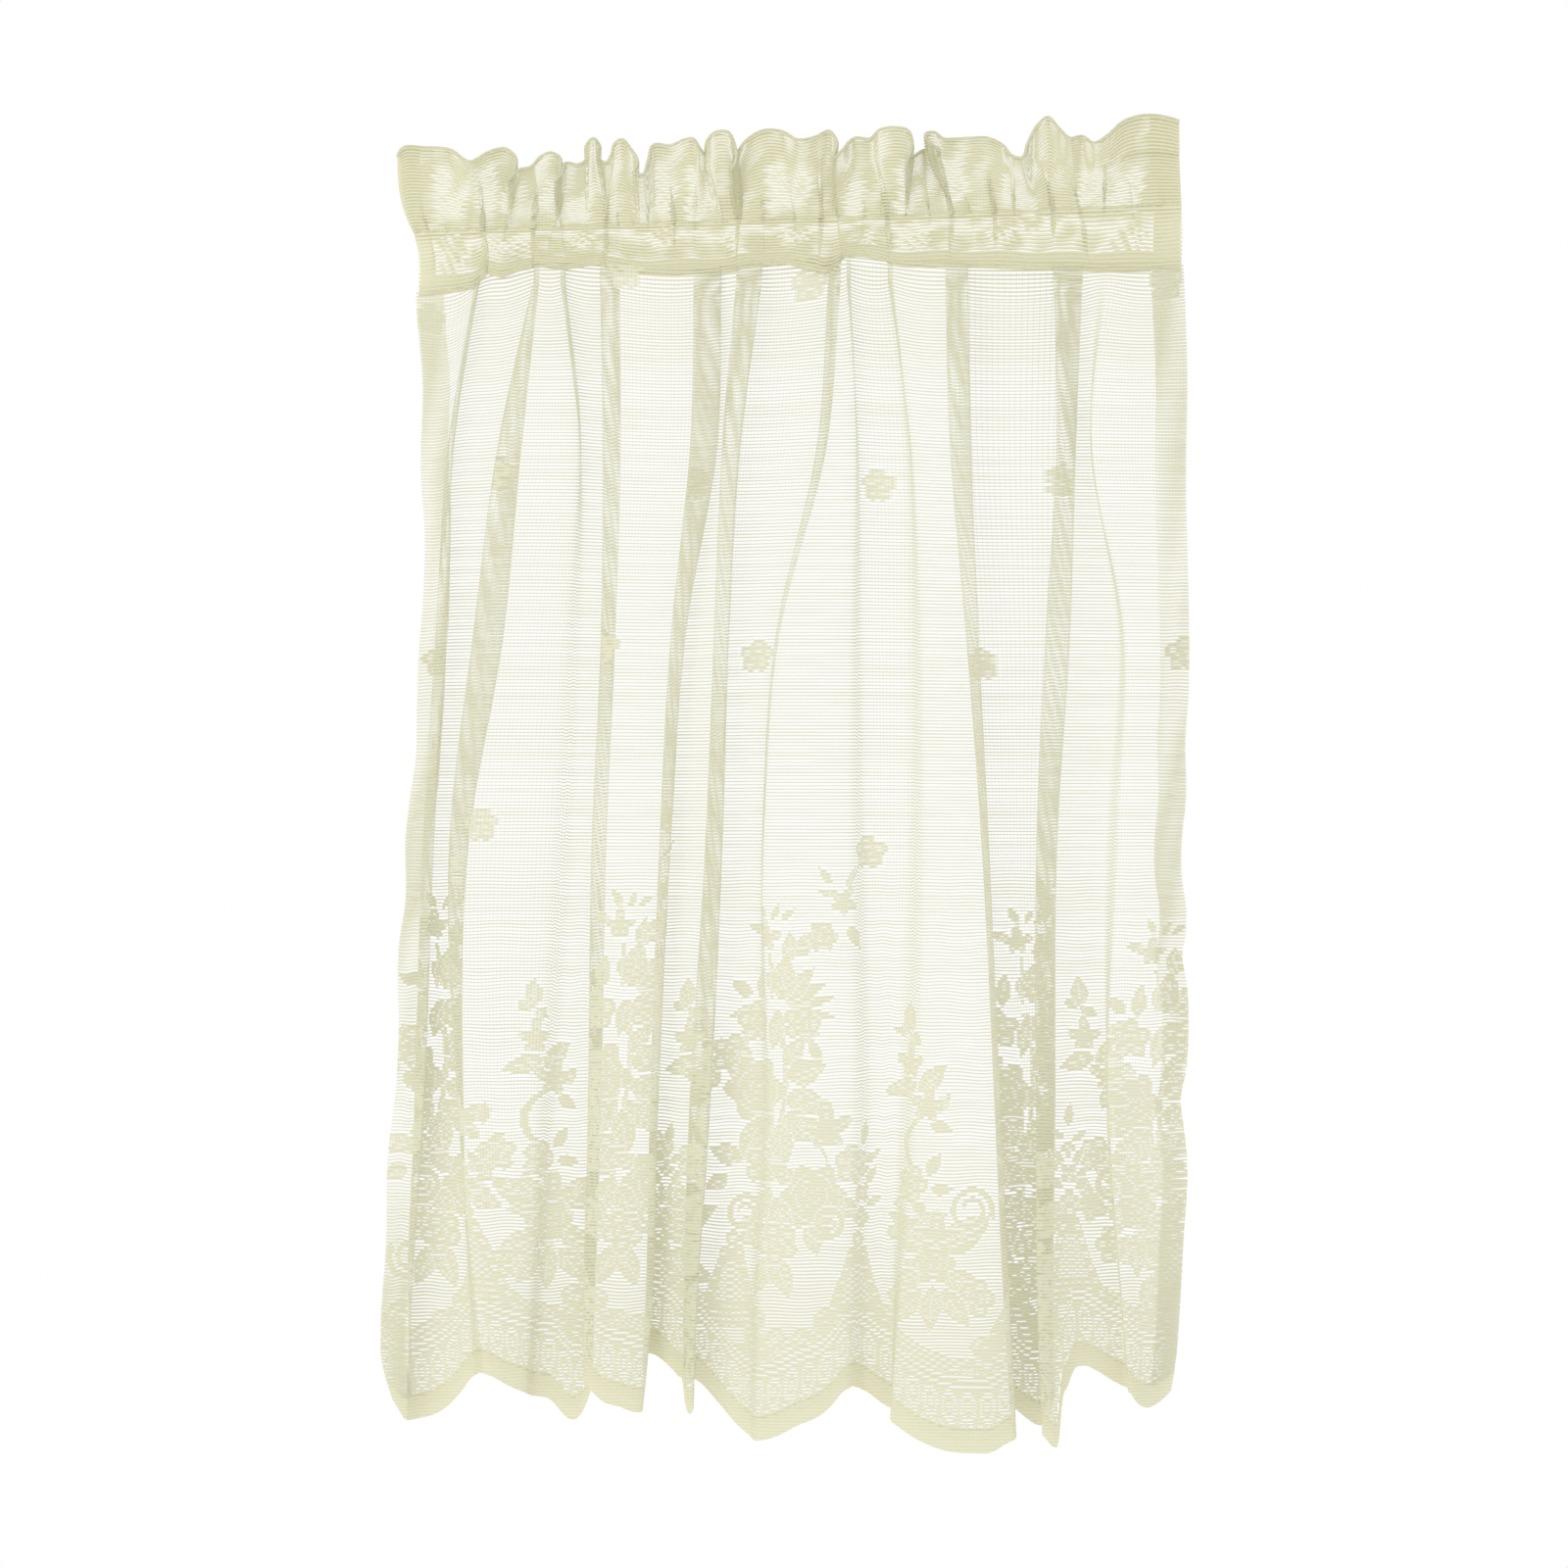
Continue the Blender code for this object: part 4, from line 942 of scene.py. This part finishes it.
def top_edge():
    """The ruffle's top edge at even steps along the cloth, and how far across the cloth of each is
    where the stitches hold it flat: the middle of what the edge has covered and has yet to cover,
    drawn a little towards even spacing so that no two places fall together."""
    points = np.array(TOP_EDGE, float)
    along = np.concatenate(([0.0], np.cumsum(np.linalg.norm(np.diff(points, axis=0), axis=1))))
    places = np.linspace(0, along[-1], HEADING_COLUMNS)
    edge = np.stack([smooth(along, points[:, axis], places) for axis in range(3)], axis=-1)
    covered = np.maximum.accumulate(edge[:, 0])
    to_cover = np.minimum.accumulate(edge[::-1, 0])[::-1]
    even = np.linspace(HEADING_LEFT, edge[-1, 0], HEADING_COLUMNS)
    level = (1 - EDGE_EVEN) * (covered + to_cover) / 2 + EDGE_EVEN * even
    level = level + HEADING_WIDENS * np.clip((level - WIDENS_FROM) / WIDENS_OVER, 0, 1)**2
    soft = np.hanning(EDGE_SOFT) / np.hanning(EDGE_SOFT).sum()
    return edge, np.convolve(np.pad(level, EDGE_SOFT // 2, "edge"), soft, "valid")


EDGE, LEVEL_ACROSS = top_edge()
IN_SIDE_HEM = (LEVEL_ACROSS < SIDE_HEM) | (LEVEL_ACROSS > LEVEL_ACROSS[-1] - SIDE_HEM)


def slanted(across, down):
    """Places of the heading moved in beside its left side, as far as that side slants in there."""
    inward = follow(SIDE_SLANT, down)
    return across + inward * np.clip(1 - (across - HEADING_LEFT) / SLANT_REACH, 0, None)


def crimped(rise):
    """How far across and back the crimps move the cloth at a rise above the stitches. Each slides
    it as the slope of a bell curve does, so that it runs back over itself in the middle."""
    slid, pushed = np.zeros(np.broadcast(rise, LEVEL_ACROSS).shape), 0.0
    for number, crimp in enumerate(CRIMPS):
        reach = np.where(rise > 0, crimp.up, crimp.below)
        strength = np.clip(CRIMP_FULL - CRIMP_FULL * np.abs(rise) / reach, 0, 1)
        xi = (LEVEL_ACROSS - crimp.across - crimp.drift * rise) / crimp.width / CRIMP_SOFT
        bell = np.exp(-xi**2 / 2)
        slid = slid - crimp.slide * strength * xi * bell
        pushed = pushed + (-1)**number * CRIMP_PUSH * strength * bell
    return slid, pushed


def puckered(rise):
    """Small gathers beside the stitches, two sines out of step that die away from the line."""
    fading = np.exp(-np.abs(rise) / PUCKER_FADE)
    return fading * (0.45 * np.sin(LEVEL_ACROSS / 1.05) + 0.35 * np.sin(LEVEL_ACROSS / 1.61 + 1.3))


def ruffle_middle(height):
    """The middle of the ruffle from the stitches at height 0 to its folded top at 1, as across, back
    and down: from each place at the stitches the cloth rises to its place on the top edge, sooner
    than it would in a straight line. Its right corner is creased and stands forward."""
    stitch = follow(STITCH_LINE, LEVEL_ACROSS)
    rise = height * (stitch - EDGE[:, 1])
    down = stitch - rise
    slid, pushed = crimped(rise)
    opened = 1 - (1 - height)**RUFFLE_OPENS
    across = (slanted(LEVEL_ACROSS, down) + slid) * (1 - opened) + (EDGE[:, 0] + slid) * opened
    back = EDGE[:, 2] * opened + pushed + puckered(rise)
    corner = np.clip((LEVEL_ACROSS - CORNER_FROM) / 10, 0, 1)
    over = corner * np.clip((height - CORNER_CREASE) / 0.02, 0, 1)
    part = (height - CORNER_CREASE) / (1 - CORNER_CREASE)
    down = down + over * CORNER_DROP * (1 - part)
    back = back - over * (CORNER_FRONT[0] + CORNER_FRONT[1] * part)
    return np.stack(np.broadcast_arrays(across, back, down), axis=-1)


def pocket_wall(height, side):
    """A wall of the rod pocket from the stitches at height 0 to the seam at 1. It bellies out round
    the rod's room as a sine arch raised to a power, and two crossed sines make that uneven. The
    crimps and gathers of the stitches move it besides, and its rows sag as a slow sine."""
    stitch, seam = follow(STITCH_LINE, LEVEL_ACROSS), follow(POCKET_EDGE, LEVEL_ACROSS)
    rise = -height * (seam - stitch)
    slid, pushed = crimped(rise)
    belly = np.sin(np.pi * height)**POCKET_BLUNT
    place = 2 * np.pi * LEVEL_ACROSS
    wave = 0.8 * np.sin(place / 24.5 + 1.3 * side) * np.cos(place / 69 + side)
    back = side * (0.5 + (POCKET_DEPTH + wave + 0.4 * pushed) * belly) + puckered(rise) * belly
    sag = 0.7 * np.sin(place / 37 + 2) * belly
    across = slanted(LEVEL_ACROSS, stitch - rise) + slid
    return np.stack(np.broadcast_arrays(across, back, stitch - rise + sag), axis=-1)


def ruffle_layer(height, side):
    """One layer of the ruffle, its middle moved out along its own normal seen from above."""
    middle = ruffle_middle(height)
    along = np.gradient(middle, axis=1)[..., :2]
    along = along / np.maximum(np.linalg.norm(along, axis=-1, keepdims=True), 1e-6)
    share = np.minimum(1.0, 0.45 + 2 * height)
    out = side * LAYER_GAP * share
    middle[..., 0] -= along[..., 1] * out
    middle[..., 1] += along[..., 0] * out
    return middle


def in_step(points):
    """How far out of step the rows of the two layers lie at each place, as a share of the pitch: half
    of it, but much less in a ragged patch for each glimpse, where dashes break the rows a little, and
    drifting somewhat all over."""
    across, down = points[..., 0], points[..., 2]
    ragged = across + 1.7 * np.sin(2.4 * down) + 1.2 * np.sin(down / 3.1)
    part = np.zeros(across.shape)
    for patch in GLIMPSES:
        spot = ((ragged - patch.across) / patch.wide)**4 + ((down - patch.down) / patch.high)**4
        part = np.maximum(part, np.exp(-spot))
    drift = 0.2 * np.sin(ragged / 2.9 + down / 6.1) * np.sin(across / 13 - down / 9)
    broken = np.where(down > POCKET_FROM, 0.2, 0.07) * part * np.sin(across / 0.95 + 2.3 * down)
    return 0.5 - 0.42 * part + drift + broken


def heading_piece(name, points, faces, downs, material):
    """A piece of the heading, whose flat map is the gathered cloth let out across, and downs along."""
    flat_map = np.stack([np.broadcast_to(LEVEL_ACROSS * GATHERED, downs.shape), downs], axis=-1)
    return new_piece(name, to_world(points).reshape(-1, 3), faces, flat_map.reshape(-1, 2) * MM, material)


def heading_rows(name, place, side, courses, thick_from):
    """Knitted rows of one layer of the heading, as strips. The back layer's rows are out of step with
    the front's, and its gaps are shut in the side hems and, from a height on, where the turned-in
    allowance thickens it."""
    edges = np.arange(courses + 1)[:, None] / courses
    shut = (edges == 0) | (edges == 1)
    shift = np.zeros((courses + 1, HEADING_COLUMNS))
    if side > 0:
        shut = shut | IN_SIDE_HEM | (edges > thick_from)
        shift = in_step(place(edges, side)) / courses
    open_share = HEADING_OPEN / 2 / courses * (1 - shut)
    upper = edges[:-1] + open_share[:-1] + shift[:-1]
    lower = edges[1:] - open_share[1:] + shift[1:]
    heights = np.clip(np.stack([upper, lower], axis=1), 0, 1).reshape(2 * courses, -1)
    return heading_piece(name, place(heights, side), strip_faces(courses, HEADING_COLUMNS),
                         heights * courses * PITCH - TUCKED_IN, heading_yarn)


def make_heading():
    """The ruffle and the rod pocket, each of two layers, with the rolled top and the sewn lines."""
    pieces = [heading_rows("ruffle_front", ruffle_layer, -1, RUFFLE_COURSES, 1.0),
              heading_rows("ruffle_back", ruffle_layer, 1, RUFFLE_COURSES, 1.0),
              heading_rows("pocket_front", pocket_wall, -1, POCKET_COURSES, ALLOWANCE),
              heading_rows("pocket_back", pocket_wall, 1, POCKET_COURSES, ALLOWANCE),
              make_roll()] + make_seams()
    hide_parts("heading")
    return pieces


def make_roll():
    """The ruffle's folded top: a thin tube along the top edge, square to it all the way."""
    edge = ruffle_middle(np.ones((1, 1)))[0]
    along = np.gradient(edge, axis=0)
    along = along / np.linalg.norm(along, axis=-1, keepdims=True)
    out = np.cross(along, (0.0, 1.0, 0.0))
    out = out / np.linalg.norm(out, axis=-1, keepdims=True)
    aside = np.cross(along, out)
    angle = np.linspace(0, 2 * np.pi, 11)[:, None, None]
    points = edge + ROLL * (0.8 * np.cos(angle) * out + 1.1 * np.sin(angle) * aside)
    return heading_piece("rolled_top", points, grid_faces(*points.shape[:-1]), points[..., 2], band_yarn)


def make_seams():
    """The two lines of stitches, as narrow raised bands on the front of the heading."""
    lines = (("ruffle_stitches", lambda v: ruffle_layer(np.abs(v) / 50, -1), 0.45),
             ("pocket_stitches", lambda v: pocket_wall(0.95 + v / 30, -1), 0.4))
    made = []
    for name, place, half in lines:
        rows = np.linspace(-half, half, 3)[:, None]
        points = place(rows)
        points[..., 2] += rows if name == "ruffle_stitches" else 0
        points[..., 1] -= 0.35 + 0.25 * np.sin(2 * np.pi * LEVEL_ACROSS / 2.5)
        made.append(heading_piece(name, points, grid_faces(*points.shape[:-1]), points[..., 2], band_yarn))
    return made


net, pattern_top = make_net()
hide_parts("lace_panel")
patterned = make_patterned(pattern_top)
edge = make_edge()
pillars = make_pillars()
left_hem = make_side_hem("left_side_hem", HEM_INSET, LEFT_HEM, LEFT_THIN)
right_hem = make_side_hem("right_side_hem", FLAT_WIDTH - HEM_INSET, RIGHT_HEM, RIGHT_THIN)
ruffle, ruffle_back, pocket, pocket_back, roll, ruffle_sewn, pocket_sewn = make_heading()


def make_camera():
    """Straight in front, level with the middle of the frame, far enough for a flat view."""
    pixel = PIXEL * MM
    middle = ((PICTURE / 2 - LEFT_PIXEL) * pixel - ORIGIN_ACROSS * MM, -(PICTURE / 2 - TOP_PIXEL) * pixel)
    distance = 3.0
    camera = bpy.data.cameras.new("camera")
    camera.sensor_width = 36.0
    camera.lens = camera.sensor_width * distance / (PICTURE * pixel)
    item = bpy.data.objects.new("camera", camera)
    item.location = (middle[0], -distance, middle[1])
    item.rotation_euler = (radians(90), 0, 0)
    bpy.context.scene.collection.objects.link(item)
    bpy.context.scene.camera = item


def make_stage():
    """A pale floor below the panel, a white surround and one large soft lamp."""
    bpy.ops.mesh.primitive_plane_add(size=1.8, location=(0, -0.45, -0.93))
    floor = bpy.context.object
    floor.name = "floor"
    paint = bpy.data.materials.new("pale_floor")
    paint.use_nodes = True
    paint.node_tree.nodes["Principled BSDF"].inputs["Base Color"].default_value = linear("#F4F4F2")
    paint.node_tree.nodes["Principled BSDF"].inputs["Roughness"].default_value = 0.9
    floor.data.materials.append(paint)
    world = bpy.data.worlds.new("studio")
    world.use_nodes = True
    world.node_tree.nodes["Background"].inputs["Color"].default_value = (1.0, 1.0, 1.0, 1.0)
    world.node_tree.nodes["Background"].inputs["Strength"].default_value = 1.0
    bpy.context.scene.world = world
    lamp = bpy.data.lights.new("soft_lamp", "AREA")
    lamp.shape = "RECTANGLE"
    lamp.size, lamp.size_y = 1.2, 1.2
    lamp.energy = 12.0
    item = bpy.data.objects.new("soft_lamp", lamp)
    item.location = (-1.4, -1.6, 0.6)
    item.rotation_euler = (radians(62), 0, radians(-42))
    bpy.context.scene.collection.objects.link(item)


bpy.context.scene.view_settings.view_transform = "Standard"
make_camera()
make_stage()
